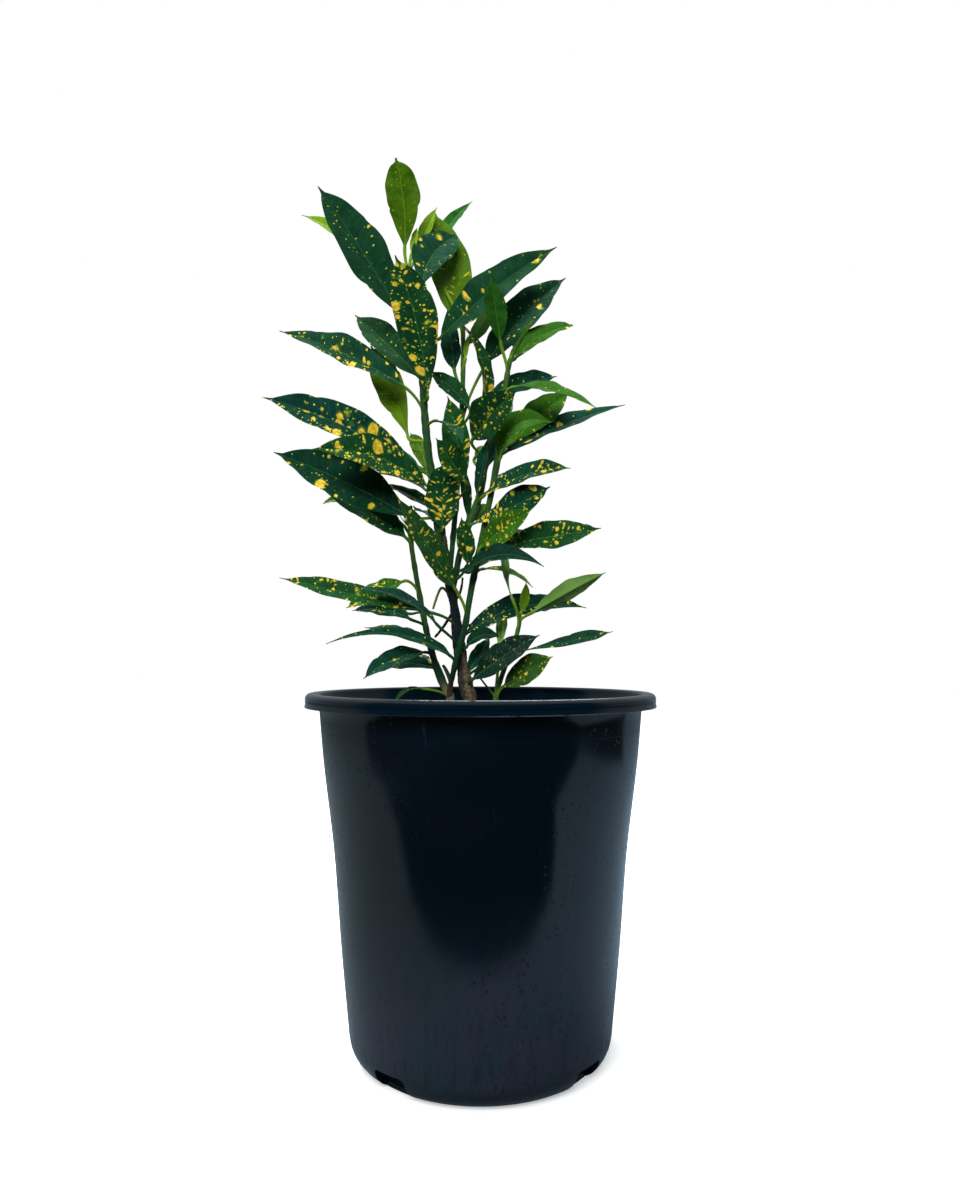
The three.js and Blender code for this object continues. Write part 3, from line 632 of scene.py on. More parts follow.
def wall_course(step):
    """The wall's outside from foot to top: a smooth curve through its radii with its leans."""
    course = []
    for i in range(len(WALL_RADII) - 1):
        (r0, z0), (r1, z1) = WALL_RADII[i:i + 2]
        third = (z1 - z0) / 3
        bend = [Vector((r0, z0)), Vector((r0 + WALL_LEANS[i] * third, z0 + third))]
        bend += [Vector((r1 - WALL_LEANS[i + 1] * third, z1 - third)), Vector((r1, z1))]
        steps = math.ceil((z1 - z0) / step)
        course += [tuple(bezier(bend, k / steps)) for k in range(steps)]
    return course + [WALL_RADII[-1]]


def line(points, longest):
    """A profile with points added so that no stretch is longer than told."""
    found = []
    for (r0, z0), (r1, z1) in zip(points, points[1:]):
        steps = max(1, math.ceil(math.hypot(r1 - r0, z1 - z0) / longest))
        found += [(r0 + (r1 - r0) * i / steps, z0 + (z1 - z0) * i / steps) for i in range(steps)]
    return found + [points[-1]]


def turned(profile, sides):
    """Points and faces of a profile turned about the pot's axis. It starts and ends on the axis."""
    points = [Vector((0, 0, profile[0][1]))]
    for radius, height in profile[1:-1]:
        for j in range(sides):
            turn = 2 * math.pi * j / sides
            points.append(Vector((radius * math.sin(turn), -radius * math.cos(turn), height)))
    points.append(Vector((0, 0, profile[-1][1])))
    faces = skin_faces(len(profile) - 2, sides, 1)
    last = len(points) - 1
    for j in range(sides):
        k = (j + 1) % sides
        faces.append((0, 1 + k, 1 + j))
        faces.append((last, last - sides + j, last - sides + k))
    return points, faces


def pot_profile():
    """The pot's section: up its outside, over the rolled rim, and down its inside to the floor."""
    outside = arc(FOOT_RADIUS, CORNER_RADIUS, CORNER_RADIUS, -90, 0, 10) + wall_course(6)
    band = [(RIM_RADIUS + out, RIM_FOOT + up) for out, up in RIM_BAND]
    over = arc(RIM_RADIUS - 3.5, POT_HEIGHT - 3.5, 3.5, 0, 90, 8)
    under = arc(RIM_INNER_RADIUS + 2, POT_HEIGHT - 2, 2, 90, 180, 6)
    inner_wall = [(radius - WALL, height) for radius, height in reversed(wall_course(12))]
    inner_wall[0] = (RIM_INNER_RADIUS - 1.6, 250)
    inside = line([(RIM_INNER_RADIUS - 0.4, POT_HEIGHT - 5)] + inner_wall, 9)
    floor_corner = arc(FOOT_RADIUS, CORNER_RADIUS, CORNER_RADIUS - FLOOR, 0, -90, 6)
    return [(0, 0)] + outside + RIM_UNDERSIDE + band + over + under + inside + floor_corner + [(0, FLOOR)]


def notch_cutter(turn, grown):
    """A block with rounded upper edges, where a drainage notch is cut out of the bottom corner."""
    half = NOTCH_WIDTH / 2 + grown
    high = NOTCH_HEIGHT + grown
    outline = [(-half, -4), (half, -4), (half, high - 3), (half - 0.9, high - 0.9), (half - 3, high)]
    outline += [(-x, z) for x, z in reversed(outline[2:])]
    angle = math.radians(turn)
    across = Vector((math.cos(angle), math.sin(angle), 0))
    out = Vector((math.sin(angle), -math.cos(angle), 0))
    points = []
    for reach in (NOTCH_FROM_AXIS - grown, NOTCH_FROM_AXIS + CORNER_RADIUS + 6):
        points += [across * x + out * reach + Vector((0, 0, z)) for x, z in outline]
    count = len(outline)
    faces = [[j, (j + 1) % count, count + (j + 1) % count, count + j] for j in range(count)]
    faces += [list(reversed(range(count))), list(range(count, 2 * count))]
    return placed("notch", mesh_of("notch", points, faces))


def finished(piece):
    """The piece with its modifiers worked into its mesh."""
    graph = bpy.context.evaluated_depsgraph_get()
    mesh = bpy.data.meshes.new_from_object(piece.evaluated_get(graph))
    piece.modifiers.clear()
    piece.data = mesh
    return piece


def notched(piece, grown):
    """The piece with the drainage notches cut out, grown by this many millimetres."""
    cutters = [notch_cutter(turn, grown) for turn in NOTCH_TURNS]
    for cutter in cutters:
        cut = piece.modifiers.new("notch", "BOOLEAN")
        cut.operation = "DIFFERENCE"
        cut.solver = "EXACT"
        cut.object = cutter
    finished(piece)
    for cutter in cutters:
        bpy.data.objects.remove(cutter)
    shade(piece.data, 40)
    return piece


def make_pot(material):
    points, faces = turned(pot_profile(), POT_SIDES)
    return notched(mesh_piece("nursery_pot", points, faces, material), 0)


def soil_height(x, y):
    """The soil's surface in millimetres: a low crown that is uneven, and even at its rim."""
    radius = math.hypot(x, y)
    crown = SOIL_CROWN * (1 - smooth(radius, 30, 80)) + (1 - smooth(radius, 80, SOIL_RADIUS))
    uneven = math.sin(0.11 * x + 2 * math.sin(0.05 * y)) + 0.7 * math.sin(0.17 * y - 0.09 * x)
    return SOIL_TOP - 1.2 + crown + 0.8 * uneven * (1 - smooth(radius, 95, SOIL_RADIUS))


def make_soil(material):
    """The soil that fills the pot, with an uneven top."""
    corner = arc(FOOT_RADIUS, CORNER_RADIUS, CORNER_RADIUS - FLOOR - GAP, -90, 0, 4)
    wall = [(min(radius - WALL - GAP, SOIL_RADIUS), height) for radius, height in WALL_RADII[:4]]
    top = [(SOIL_RADIUS * (1 - i / 40), SOIL_TOP) for i in range(40)]
    points, faces = turned([(0, FLOOR + GAP)] + corner + wall + top + [(0, SOIL_TOP)], 96)
    for point in points:
        if point.z == SOIL_TOP:
            point.z = soil_height(point.x, point.y)
    return notched(mesh_piece("potting_soil", points, faces, material), GAP)


class Value:
    """A number that a material works out. Calculating with it adds Math nodes."""

    def __init__(self, paint, socket):
        self.paint, self.socket = paint, socket

    def math(self, operation, *others):
        settings = {"operation": operation}
        node = self.paint.add("ShaderNodeMath", settings, dict(enumerate((self, *others))))
        return Value(self.paint, node.outputs[0])

    __add__ = __radd__ = partialmethod(math, "ADD")
    __mul__ = __rmul__ = partialmethod(math, "MULTIPLY")
    __sub__ = partialmethod(math, "SUBTRACT")
    __truediv__ = partialmethod(math, "DIVIDE")
    __pow__ = partialmethod(math, "POWER")
    over = partialmethod(math, "GREATER_THAN")
    most = partialmethod(math, "MAXIMUM")

    def __rsub__(self, other):
        return (self * -1) + other

    def within(self, low, high):
        """0 at low and before it, 1 at high and past it, and a smooth way between them."""
        node = self.paint.add("ShaderNodeMapRange", {"interpolation_type": "SMOOTHSTEP"}, {
            "Value": self, "From Min": low, "From Max": high,
        })
        return Value(self.paint, node.outputs["Result"])


class Nodes:
    """A tree of nodes, and the one way to add to it."""

    def __init__(self, tree):
        self.tree = tree

    def put(self, socket, value):
        if isinstance(value, Value):
            value = value.socket
        if isinstance(value, bpy.types.NodeSocket):
            self.tree.links.new(value, socket)
        elif isinstance(value, tuple) and socket.type == "RGBA":
            socket.default_value = (*value, 1)
        else:
            socket.default_value = value

    def add(self, kind, settings=None, sockets=None):
        """A node of this type, with its settings made first and then its sockets set or linked."""
        node = self.tree.nodes.new(kind)
        for label, value in (settings or {}).items():
            setattr(node, label, value)
        for label, value in (sockets or {}).items():
            self.put(node.inputs[label], value)
        return node


def dented(add, lumps):
    """The lumps with their points pushed by up to 0.8 mm each way."""
    place = add("GeometryNodeInputPosition").outputs["Position"]
    rough = add("ShaderNodeTexNoise", {"noise_dimensions": "3D"}, {"Vector": place, "Scale": 700.0})
    push = add("ShaderNodeVectorMath", {"operation": "MULTIPLY_ADD"}, {
        0: rough.outputs["Color"], 1: (0.0016, 0.0016, 0.0016), 2: (-0.0008, -0.0008, -0.0008),
    })
    moved = add("GeometryNodeSetPosition", None, {"Geometry": lumps, "Offset": push.outputs["Vector"]})
    return moved.outputs["Geometry"]


def crumb_tree():
    """Geometry nodes that lay small dented lumps on the level faces of a surface."""
    tree = bpy.data.node_groups.new("crumbs", "GeometryNodeTree")
    tree.interface.new_socket("Lumps", in_out="OUTPUT", socket_type="NodeSocketGeometry")
    for label, kind in (
        ("Surface", "Geometry"), ("Density", "Float"), ("Seed", "Int"), ("Smallest", "Vector"),
        ("Largest", "Vector"), ("Material", "Material"),
    ):
        tree.interface.new_socket(label, in_out="INPUT", socket_type="NodeSocket" + kind)
    add = Nodes(tree).add
    given = add("NodeGroupInput").outputs
    normal = add("GeometryNodeInputNormal").outputs["Normal"]
    upright = add("ShaderNodeVectorMath", {"operation": "DOT_PRODUCT"}, {0: normal, 1: (0, 0, 1)})
    level = add("FunctionNodeCompare", {"operation": "GREATER_THAN"}, {
        "A": upright.outputs["Value"], "B": 0.8,
    })
    spread = add("GeometryNodeDistributePointsOnFaces", None, {
        "Mesh": given["Surface"], "Selection": level.outputs["Result"],
        "Density": given["Density"], "Seed": given["Seed"],
    })
    ranges = [(given["Smallest"], given["Largest"]), ((-0.5, -0.5, 0), (0.5, 0.5, 2 * math.pi))]
    size, turn = [
        add("FunctionNodeRandomValue", {"data_type": "FLOAT_VECTOR"}, {
            0: low, 1: high, "Seed": given["Seed"],
        }).outputs[0]
        for low, high in ranges
    ]
    lump = add("GeometryNodeMeshIcoSphere", None, {"Radius": 1.0, "Subdivisions": 2})
    laid = add("GeometryNodeInstanceOnPoints", None, {
        "Points": spread.outputs["Points"], "Instance": lump.outputs["Mesh"],
        "Rotation": turn, "Scale": size,
    })
    real = add("GeometryNodeRealizeInstances", None, {"Geometry": laid.outputs["Instances"]})
    painted = add("GeometryNodeSetMaterial", None, {
        "Geometry": dented(add, real.outputs["Geometry"]), "Material": given["Material"],
    })
    add("NodeGroupOutput", None, {"Lumps": painted.outputs["Geometry"]})
    return tree


def scattered(name, tree, surface, **inputs):
    """A piece of lumps that lie on the surface, made by the tree with these inputs."""
    piece = placed(name, surface.data.copy())
    modifier = piece.modifiers.new(name, "NODES")
    modifier.node_group = tree
    for item in tree.interface.items_tree:
        if item.in_out == "INPUT" and item.name.lower() in inputs:
            modifier[item.identifier] = inputs[item.name.lower()]
    finished(piece)
    piece.data.name = name
    piece.data.shade_smooth()
    return piece


class Paint(Nodes):
    """The nodes of a material or world with one shader, and the ways to add to them."""

    def __init__(self, owner, shader="ShaderNodeBsdfPrincipled", output="ShaderNodeOutputMaterial"):
        owner.use_nodes = True
        super().__init__(owner.node_tree)
        self.owner = owner
        self.tree.nodes.clear()
        self.shader = self.add(shader)
        self.add(output, None, {"Surface": self.shader.outputs[0]})

    def parts(self, vector):
        node = self.add("ShaderNodeSeparateXYZ", None, {"Vector": vector})
        return [Value(self, output) for output in node.outputs]

    def attribute(self, name):
        node = self.add("ShaderNodeAttribute", {"attribute_name": name})
        return self.parts(node.outputs["Vector"])

    def coordinates(self, kind="Object"):
        return self.add("ShaderNodeTexCoord").outputs[kind]

    def vector(self, x, y, z):
        return self.add("ShaderNodeCombineXYZ", None, {"X": x, "Y": y, "Z": z}).outputs["Vector"]

    def noise(self, vector, scale, detail=2.0, roughness=0.5):
        node = self.add("ShaderNodeTexNoise", None, {
            "Vector": vector, "Scale": scale, "Detail": detail, "Roughness": roughness,
        })
        return Value(self, node.outputs["Fac"])

    def fibres(self, place, upwards, scale, detail, roughness=0.5):
        """Noise that is drawn out upwards: its scale is per millimetre across, upwards per metre along."""
        x, y, up = place
        return self.noise(self.vector(x * 1000, y * 1000, up * upwards), scale, detail, roughness)

    def blend(self, share, first, second):
        """Goes from the first colour to the second as the share goes from 0 to 1."""
        node = self.add("ShaderNodeMix", {"data_type": "RGBA"}, {0: share, 6: first, 7: second})
        return node.outputs[2]

    def layers(self, colour, *layers):
        """Lays colours over each other: each layer is a share and a colour."""
        for share, over in layers:
            colour = self.blend(share, colour, over)
        return colour

    def cells(self, vector, scale):
        """Distance to the nearest of many scattered points, and two random numbers of that point."""
        node = self.add("ShaderNodeTexVoronoi", None, {"Vector": vector, "Scale": scale})
        colour = self.add("ShaderNodeSeparateColor", None, {"Color": node.outputs["Color"]})
        return [Value(self, socket) for socket in (node.outputs["Distance"], *colour.outputs[:2])]

    def bump(self, height, strength, distance):
        node = self.add("ShaderNodeBump", None, {
            "Height": height, "Strength": strength, "Distance": distance,
        })
        self.put(self.shader.inputs["Normal"], node.outputs["Normal"])

    def finish(self, **values):
        """Sets the shader's sockets, with the words of their names joined by _."""
        for label, value in values.items():
            title = label.replace("_", " ").title().replace("Ior", "IOR")
            self.put(self.shader.inputs[title], value)
        return self.owner


def new_paint(name):
    return Paint(bpy.data.materials.new(name))


class LeafSurface:
    """What the leaf material knows of a point: where it lies on its leaf, and how that leaf looks."""

    def __init__(self, paint):
        self.paint = paint
        across, along, self.seed = paint.attribute("place")
        self.edge, self.place, self.below = paint.attribute("share")
        self.young, self.bright, self.pale = paint.attribute("tone")
        self.dust, self.stalk, streaks = paint.attribute("wear")
        self.amounts = (*paint.attribute("spots"), streaks)
        self.hand = across.math("SIGN")
        self.out = across.math("ABSOLUTE")
        self.vein_run = self.out * VEIN_OUT + along * VEIN_ALONG
        self.vein_cross = along * VEIN_OUT - self.out * VEIN_ALONG + self.out * self.out * VEIN_BEND
        self.layer = self.seed * 3.7 + self.hand * 5.3
        self.surface = paint.vector(self.vein_run * 0.7, self.vein_cross, self.layer)
        self.wobble = paint.noise(self.surface, 0.45, 3.0)
        self.crowd = paint.noise(paint.vector(self.vein_run, self.vein_cross, self.layer + 40), 0.09, 1.0)
        self.crowding = self.crowd.within(0.36, 0.66) * 1.3 + 0.25
        self.tint = paint.noise(self.surface, 0.16, 4.0, 0.6)
        self.young_share = self.young.most(self.bright)

    def vein(self):
        beat = (self.vein_cross / VEIN_SPACING + self.hand * 0.13).math("FRACT") - 0.5
        return 1 - beat.math("ABSOLUTE").within(0.02, 0.1)

    def rib(self):
        width = (1 - self.place) * 0.34 + 0.12
        return 1 - (self.out / width).within(0.6, 1.4)


def spot_layer(leaf, amount, scale, length, radius, shift):
    """How deep inside a spot of this layer a point lies, in cells, and whether that spot is shown."""
    bent = leaf.paint.vector(
        leaf.vein_run * length + leaf.wobble * (0.35 / scale),
        leaf.vein_cross + leaf.wobble * (0.22 / scale),
        leaf.layer + shift,
    )
    near, chance, size = leaf.paint.cells(bent, scale)
    shown = (amount * leaf.crowding - chance).within(0, 0.02)
    deep = (size * 0.6 + 0.4 - leaf.young * 0.25) * radius - near + (leaf.wobble * 0.22 - 0.11) * radius
    return deep, shown


def leaf_spots(leaf):
    """Masks of a leaf's golden spots, of all its spots, and of the haloes round the larger ones."""
    layers = [spot_layer(leaf, amount, *layer) for amount, layer in zip(leaf.amounts, SPOT_LAYERS)]
    fine, middling, large, drawn = [deep.within(-0.02, 0.07) * shown for deep, shown in layers]
    haloes = [deep.within(-0.12, 0.0) * shown for deep, shown in layers[1:]]
    gold = middling.most(large).most(drawn * (1 - leaf.bright * 0.6))
    spotted = gold.most(fine).most(drawn)
    return gold, spotted, haloes[0].most(haloes[1]).most(haloes[2])


def blade_green(leaf):
    """The blade's green: dark, or brighter, younger or paler, and pale on its underside. A bright below 0
    darkens it as painted shade.
    """
    blend = leaf.paint.blend
    mottle = leaf.tint.within(0.3, 0.7)
    cold, warm, ripe, fresh = [
        blend(mottle, *pair) for pair in (COLD_GREEN, WARM_GREEN, RIPE_GREEN, FRESH_GREEN)
    ]
    per_leaf = leaf.paint.noise(leaf.paint.vector(leaf.seed, 0, 0), 0.37, 0)
    return leaf.paint.layers(
        blend(per_leaf.within(0.35, 0.65), cold, warm),
        # Painted shade: a bright below 0 darkens the whole leaf
        (leaf.bright * -1, PAINTED_SHADE_GREEN),
        (leaf.bright, ripe),
        (leaf.young, blend(leaf.bright, fresh, LIME_GREEN)),
        ((leaf.below * 0.75).most(leaf.pale), blend(leaf.young, *UNDERSIDE)),
    )


def spot_colour(leaf, gold):
    lime = leaf.paint.blend(leaf.tint.within(0.35, 0.6), *LIME_SPOT)
    golden = leaf.paint.blend(leaf.wobble.within(0.35, 0.62), *GOLDEN_SPOT)
    return leaf.paint.blend(gold, lime, golden)


def stalk_colour(leaf):
    """Dark low on the plant, fresher higher up, and lime on the young, bright and pale leaves."""
    up = leaf.paint.parts(leaf.paint.coordinates())[2]
    colour = leaf.paint.blend(up.within(0.30, 0.44), *STALK)
    return leaf.paint.blend((leaf.young * 4).most(leaf.bright).most(leaf.pale), colour, YOUNG_STALK)


def leaf_material():
    """Croton leaf: bottle green with golden spots, or paler, younger and dusty as its values say."""
    paint = new_paint("croton_leaf")
    leaf = LeafSurface(paint)
    vein, rib = leaf.vein(), leaf.rib()
    rib_colour = paint.blend(leaf.young_share, *RIB)
    gold, spotted, halo = leaf_spots(leaf)
    spotted = spotted * (1 - leaf.young * 0.4)
    grain = paint.noise(leaf.surface, 1.6, 4.0, 0.7)
    specks = paint.noise(leaf.surface, 0.9, 2.0, 0.8).within(0.54, 0.66) * leaf.crowd.within(0.4, 0.55)
    film = leaf.dust * (specks * 0.4 * leaf.place.within(0.25, 0.4) + 0.02) * (1 - leaf.below)
    colour = paint.layers(
        blade_green(leaf),
        (vein * (1 - leaf.edge.within(0.75, 1.0)) * 0.12, paint.blend(leaf.young_share, *VEIN)),
        (halo * (1 - leaf.below) * 0.35, SPOT_HALO),
        (spotted * (1 - leaf.below * 0.7), spot_colour(leaf, gold)),
        (leaf.edge.within(0.95, 1.0) * 0.2, rib_colour),
        (rib * 0.55, rib_colour),
        (leaf.stalk, stalk_colour(leaf)),
        (film, LEAF_DUST),
    )
    paint.bump(spotted * 0.12 - vein * 0.35 + grain * 0.12 - rib * 0.5 + leaf.tint * 0.8, 0.5, 0.0006)
    roughness = grain * 0.12 + leaf.below * 0.15 + film * 0.4 + 0.27
    return paint.finish(base_color=colour, roughness=roughness, specular_ior_level=0.1)


def stem_age(x, up):
    """How old and dark a green stem is: more so low down, less on the small plant and at the open sides."""
    small_plant = x.within(0.006, 0.009) * up.within(0.335, 0.33)
    open_sides = x.within(-0.012, -0.006).most(x.within(-0.037, -0.041))
    open_sides = open_sides * up.within(0.44, 0.40) * up.within(0.285, 0.31)
    age = up.within(0.56, 0.33) * (1 - small_plant * 0.85) * (1 - open_sides * 0.4)
    tall_shoot = x.within(-0.026, -0.032) * up.within(0.39, 0.43) * up.within(0.58, 0.53)
    return age.most(tall_shoot * 0.75)


def stem_material():
    """Green shoot: fresh green above, darker and streaked below."""
    paint = new_paint("green_stem")
    place = paint.parts(paint.coordinates())
    x, _, up = place
    streaks = paint.fibres(place, 120, 1.1, 4.0, 0.6)
    mottle = streaks.within(0.3, 0.7)
    age = stem_age(x, up)
    flecks = paint.fibres(place, 500, 1.7, 3.0).within(0.62, 0.72)
    stalk = up.within(0.315, 0.318) * up.within(0.338, 0.336)
    left_foot = up.within(0.272, 0.258) * x.within(-0.005, -0.015)
    colour = paint.layers(
        paint.blend(age, paint.blend(mottle, *FRESH_STEM), paint.blend(mottle, *OLD_STEM)),
        (flecks * age * 0.35, STEM_FLECK),
        (stalk * x.within(-0.0215, -0.0225) * x.within(-0.036, -0.035), OLIVE_STALK),
        (left_foot * streaks.within(0.2, 0.6), STEM_FOOT),
    )
    paint.bump(streaks, 0.5, 0.0004)
    return paint.finish(base_color=colour, roughness=streaks * 0.2 + 0.35)


def bark_material():
    """Woody stem: tan and scaly at its foot, slate brown above, with moss and a bare tan side."""
    paint = new_paint("woody_stem")
    place = paint.coordinates()
    x, y, up = paint.parts(place)
    fibre = paint.fibres((x, y, up), 260, 0.8, 5.0, 0.65)
    scales = paint.noise(place, 420.0, 5.0, 0.7)
    slate, brown = [paint.blend(fibre.within(0.35, 0.68), *pair) for pair in (SLATE_BARK, BROWN_BARK)]
    bare_side = up.within(0.297, 0.290) * (x + up * 0.054).within(0.0012, 0.0038)
    moss = paint.noise(place, 160.0, 3.0).within(0.55, 0.7) * up.within(0.35, 0.28) * 0.35
    colour = paint.layers(
        paint.blend(up.within(0.325, 0.35), slate, brown),
        ((up.within(0.292, 0.262) * 0.35).most(bare_side), paint.blend(scales.within(0.35, 0.65), *TAN_BARK)),
        (moss, MOSS),
    )
    paint.bump(fibre * 0.6 + scales * 0.8, 0.9, 0.0011)
    return paint.finish(base_color=colour, roughness=scales * 0.2 + 0.62)


class PotSurface:
    """What the pot's material knows of a point: where it lies, and the patterns of its dust."""

    def __init__(self, paint):
        self.paint = paint
        self.place = paint.coordinates()
        self.x, self.y, self.up = course = paint.parts(self.place)
        self.reach = (self.x * self.x + self.y * self.y) ** 0.5
        self.cloud = paint.noise(self.place, 9.0, 3.0)
        self.grime = paint.noise(self.place, 120.0, 5.0, 0.7)
        self.streaks = paint.fibres(course, 45, 0.16, 4.0, 0.65)
        self.runs = paint.fibres(course, 150, 0.30, 5.0, 0.7).within(0.52, 0.62)
        self.low = self.up.within(0.15, 0.03)

    def specks(self):
        """Small spots where the dust is gone, in clouds and on the right side."""
        near, chance, size = self.paint.cells(self.place, 280.0)
        specks = (size * 0.34 + 0.04 - near).within(-0.12, 0.10)
        right_side = self.x.within(0.025, 0.05) * self.up.within(0.06, 0.1) * self.up.within(0.225, 0.2)
        zone = self.cloud.within(0.42, 0.6).most(right_side) * self.grime.within(0.3, 0.5)
        return specks * (zone - chance * 0.8).within(0.1, 0.35)

    def film(self, specks):
        """How much dust lies on the wall: most low down, less on the rim, and washed off in streaks."""
        film = self.low * 0.75 + self.cloud.within(0.45, 0.75) * 0.3 + 0.04
        film = film * (1 - self.up.within(0.245, 0.25) * 0.6)
        film = film * (1 - specks * 0.8) * (1 - self.runs * self.low * 0.55)
        film = film * (1 - self.streaks.within(0.52, 0.66) * self.low * 0.4) * (self.grime * 0.5 + 0.75)
        return film * self.up.within(0.006, 0.02)


def plastic_layers(pot, film):
    """What lies over the clean plastic: its film, a lighter tone inside over the soil, and dried drips."""
    patches = pot.paint.noise(pot.place, 22.0, 4.0, 0.7).within(0.45, 0.6)
    inside = (pot.reach - pot.up * 0.08).within(0.0947, 0.0943) * pot.up.over(0.229)
    drips = pot.streaks.within(0.66, 0.72) * pot.up.within(0.12, 0.16) * 0.25
    return (film, pot.paint.blend(patches, *DUSTY_PLASTIC)), (inside, INNER_PLASTIC), (drips, DRIP)


def rim_layers(pot):
    """The mould's parting lines, and painted highlights: a glint along the front of the rim's top edge and a
    lighter line on its lower lip.
    """
    turn = pot.x.math("ARCTAN2", pot.y * -1)
    on_band = pot.up.over(RIM_FOOT * MM)
    lines = [
        1 - (turn - math.radians(degrees)).math("ABSOLUTE").within(0.002, 0.005) for degrees in PARTING_TURNS
    ]
    # Painted highlights, broken up by streaks, only on the front of the rim
    front_glint = pot.streaks.within(0.3, 0.5) * (pot.y * -1).within(0.08, 0.11)
    top_glint = pot.up.within(0.26072, 0.26088) * pot.reach.within(0.1203, 0.1209)
    top_glint = top_glint * pot.x.within(-0.05, -0.03) * front_glint
    lip_glint = on_band * pot.up.within(0.25235, 0.2520) * pot.x.within(-0.02, 0.02) * front_glint
    return (
        *((line * on_band * 0.8, PARTING_LINE) for line in lines),
        (top_glint * 0.8, TOP_EDGE_GLINT),
        (lip_glint * 0.7, LIP_GLINT),
    )


def pot_material():
    """Blue-black moulded plastic under a film of dust, with dried drips and specks."""
    paint = new_paint("pot_plastic")
    pot = PotSurface(paint)
    specks = pot.specks()
    film = pot.film(specks)
    colour = paint.layers(CLEAN_PLASTIC, *plastic_layers(pot, film), *rim_layers(pot))
    line_round = pot.up.within(0.2350, 0.2354)
    paint.bump(pot.cloud * 2.0 + pot.grime * 0.03 - line_round * 0.12, 0.35, 0.0012)
    dulled = specks * 0.26 + pot.runs * pot.low * 0.14
    return paint.finish(base_color=colour, roughness=film * 0.2 + pot.grime * 0.05 + dulled + 0.09)


def earth_material(name, colours, scale):
    """Dull clumps that run between the two colours, and near black close to the pot's floor, a painted shade
    where the soil shows in the drainage notches.
    """
    paint = new_paint(name)
    place = paint.coordinates()
    up = paint.parts(place)[2]
    clumps = paint.noise(place, scale, 6.0, 0.75)
    # Painted shade low in the pot, where the soil shows in the drainage notches
    colour = paint.layers(paint.blend(clumps.within(0.3, 0.7), *colours), (up.within(0.04, 0.02), NOTCH_SHADE_EARTH))
    paint.bump(clumps, 1.0, 0.0015)
    return paint.finish(base_color=colour, roughness=clumps * 0.1 + 0.85)


def make_camera():
    width, height = FRAME_PIXELS
    lens = bpy.data.cameras.new("camera")
    lens.sensor_width = 36
    lens.lens = 36 * FOCAL_PIXELS / height
    lens.shift_x = (width / 2 - AXIS_COLUMN) / height
    lens.shift_y = (HORIZON_ROW - height / 2) / height
    camera = placed("camera", lens)
    camera.location = (0, -VIEW_DISTANCE * MM, VIEW_HEIGHT * MM)
    camera.rotation_euler = (math.pi / 2, 0, 0)
    bpy.context.scene.camera = camera


def seen_by_camera(paint):
    return Value(paint, paint.add("ShaderNodeLightPath").outputs["Is Camera Ray"])


def make_room():
    """A bright room all round and above that is dim in front of the pot. The camera sees it white."""
    world = bpy.data.worlds.new("studio")
    paint = Paint(world, "ShaderNodeBackground", "ShaderNodeOutputWorld")
    x, y, up = paint.parts(paint.coordinates("Generated"))
    level = (x * x + y * y + 0.0001) ** 0.5
    ahead = (y * -1) / level
    dim = ahead.within(math.cos(math.radians(88)), math.cos(math.radians(72))) * (1 - up.within(0.5, 0.85))
    room = paint.blend(up.within(-0.1, 0.9), *ROOM)
    room = paint.layers(room, (dim, DIM_ROOM), (seen_by_camera(paint), WHITE))
    paint.finish(color=room, strength=1.0)
    bpy.context.scene.world = world


def floor_material():
    """White to the camera. The pot mirrors it as a grey sheet with an edge just in front of the frame."""
    paint = new_paint("white_floor")
    x, y, _ = paint.parts(paint.coordinates())
    camera = seen_by_camera(paint)
    bend = x.within(0.33, 0.5) * 0.11 - x.within(-0.65, -0.95) * 0.11
    beyond_edge = (y + bend).within(-0.272, -0.290)
    patch = x.within(1.01, 1.06) * (y - x * 0.3).within(0.26, 0.21)
    sheet = paint.blend(beyond_edge.most(patch), paint.blend(x.within(-0.3, 0.3), *GREY_SHEET), PAST_SHEET)
    glow = paint.blend((x * x + y * y).within(0.04, 0.5), *FLOOR_GLOW)
    return paint.finish(
        base_color=paint.blend(camera, sheet, FLOOR_SHADE), roughness=0.9,
        emission_color=paint.blend(camera, (0, 0, 0), glow), emission_strength=1.0,
    )


def make_floor():
    half = 4000
    corner_points = [Vector((x * half, y * half, 0)) for x, y in ((-1, -1), (1, -1), (1, 1), (-1, 1))]
    mesh = mesh_of("floor", corner_points, [(0, 1, 2, 3)])
    mesh.materials.append(floor_material())
    placed("floor", mesh)


def make_light(name, place, size, power):
    """A soft light that shines on the middle of the plant and isn't mirrored."""
    lamp = bpy.data.lights.new(name, "AREA")
    lamp.shape = "RECTANGLE"
    lamp.size, lamp.size_y = size
    lamp.energy = power
    light = placed(name, lamp)
    light.location = place
    light.rotation_euler = (Vector((0, 0, 0.35)) - Vector(place)).to_track_quat("-Z", "Y").to_euler()
    light.visible_glossy = False


def make_studio():
    bpy.context.scene.view_settings.view_transform = "Standard"
    make_room()
    make_floor()
    make_light("overhead", (-0.5, 0.4, 1.9), (1.2, 1.2), 72)
    make_light("front_fill", (-0.3, -1.8, 1.5), (1.2, 1.0), 58)


def kept(piece, node):
    """The piece rides on the part and stands for the node."""
    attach(piece, BODY)
    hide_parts(node)


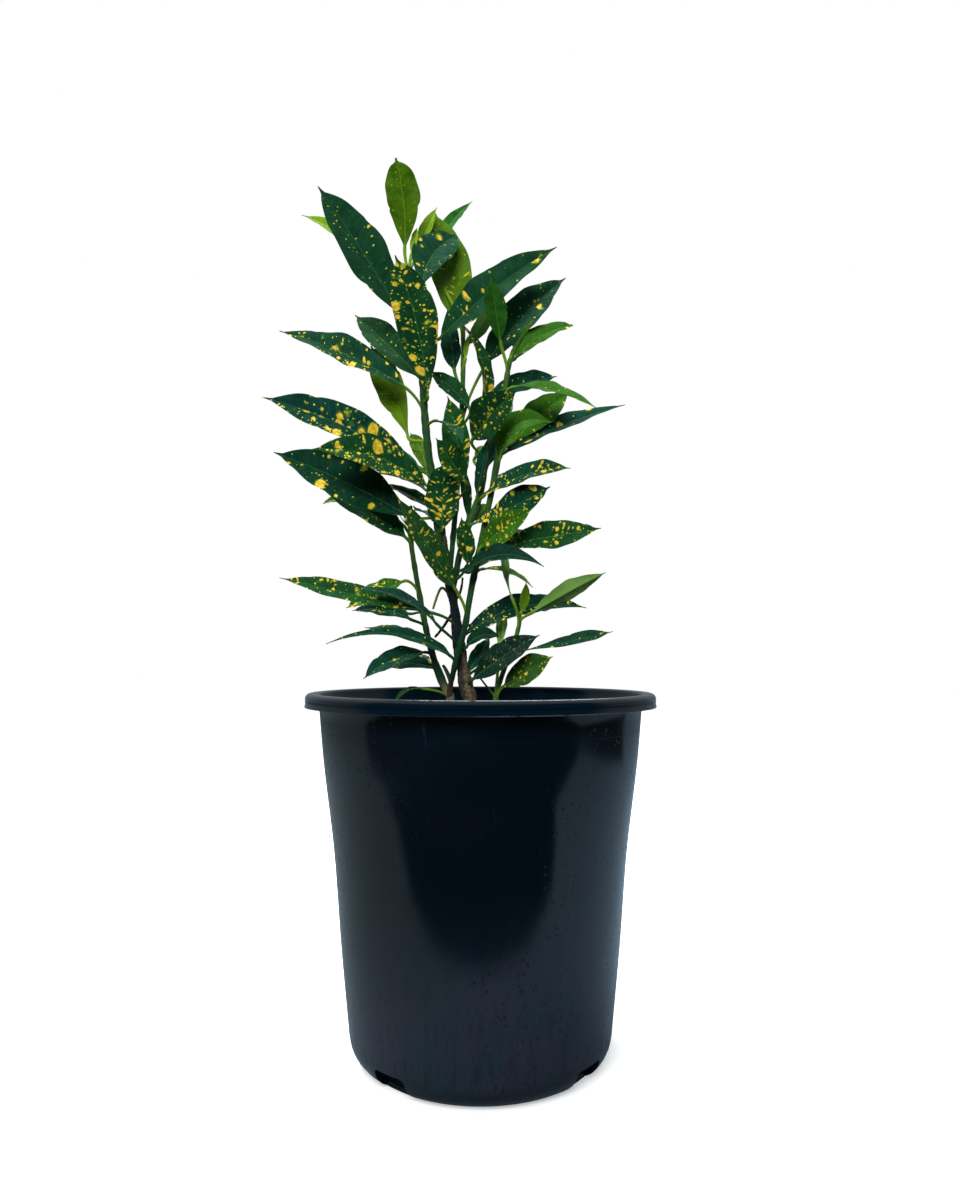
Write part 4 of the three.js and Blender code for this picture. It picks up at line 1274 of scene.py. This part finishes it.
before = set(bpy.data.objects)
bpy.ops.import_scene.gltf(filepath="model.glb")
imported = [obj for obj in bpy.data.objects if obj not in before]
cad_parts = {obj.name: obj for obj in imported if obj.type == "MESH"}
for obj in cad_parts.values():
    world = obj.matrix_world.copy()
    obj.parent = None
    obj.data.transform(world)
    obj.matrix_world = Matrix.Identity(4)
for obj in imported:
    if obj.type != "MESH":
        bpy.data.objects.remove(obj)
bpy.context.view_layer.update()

make_camera()
make_studio()

leaf_paint = leaf_material()
stem_paint = stem_material()
bark_paint = bark_material()

SHOOTS = [
    ("main_stem", MAIN_STEM, MAIN_LEAVES, MAIN_TWIGS, "green_leaf", "woody_stem"),
    ("tall_shoot", TALL_STEM, TALL_LEAVES, [], "green_leaf", "green_leaf"),
    ("young_leaves", YOUNG_STEM, YOUNG_LEAVES, [], "young_leaf", "young_leaf"),
    ("centre_shoot", CENTRE_STEM, CENTRE_LEAVES, [], "green_leaf", "green_leaf"),
    ("inner_shoot", INNER_STEM, INNER_LEAVES, [], "green_leaf", "green_leaf"),
    ("right_shoot", RIGHT_STEM, RIGHT_LEAVES, [], "green_leaf", "green_leaf"),
    ("left_plant", LEFT_STEM, LEFT_LEAVES, [], "green_leaf", "green_leaf"),
    ("small_plant", SMALL_STEM, SMALL_LEAVES, SMALL_TWIGS, "green_leaf", "green_leaf"),
]
for node, places, rows, twigs, leaf_slot, stem_slot in SHOOTS:
    kept(leaves(node + "_foliage", places, rows, leaf_paint), node)
    skin = (bark_paint, 24, 0.55) if stem_slot == "woody_stem" else (stem_paint, 16, 0.12)
    kept(stems(node + "_wood", places, rows, twigs, *skin), node)
kept(stems("main_stem_stalk", MAIN_STALK, [], [], stem_paint, 10, 0.1), "main_stem")
stub, *fork = LEFT_TWIGS
kept(stems("left_plant_stub", stub, [], fork, bark_paint, 16, 0.4), "left_plant")

kept(make_pot(pot_material()), "pot")

soil = make_soil(earth_material("peat", PEAT, 300.0))
kept(soil, "soil")
crumbs = crumb_tree()
for name, density, seed, smallest, largest, colours, scale in LUMPS:
    lumps = scattered(
        name, crumbs, soil, material=earth_material(name, colours, scale), density=density, seed=seed,
        smallest=smallest, largest=largest,
    )
    kept(lumps, "soil")
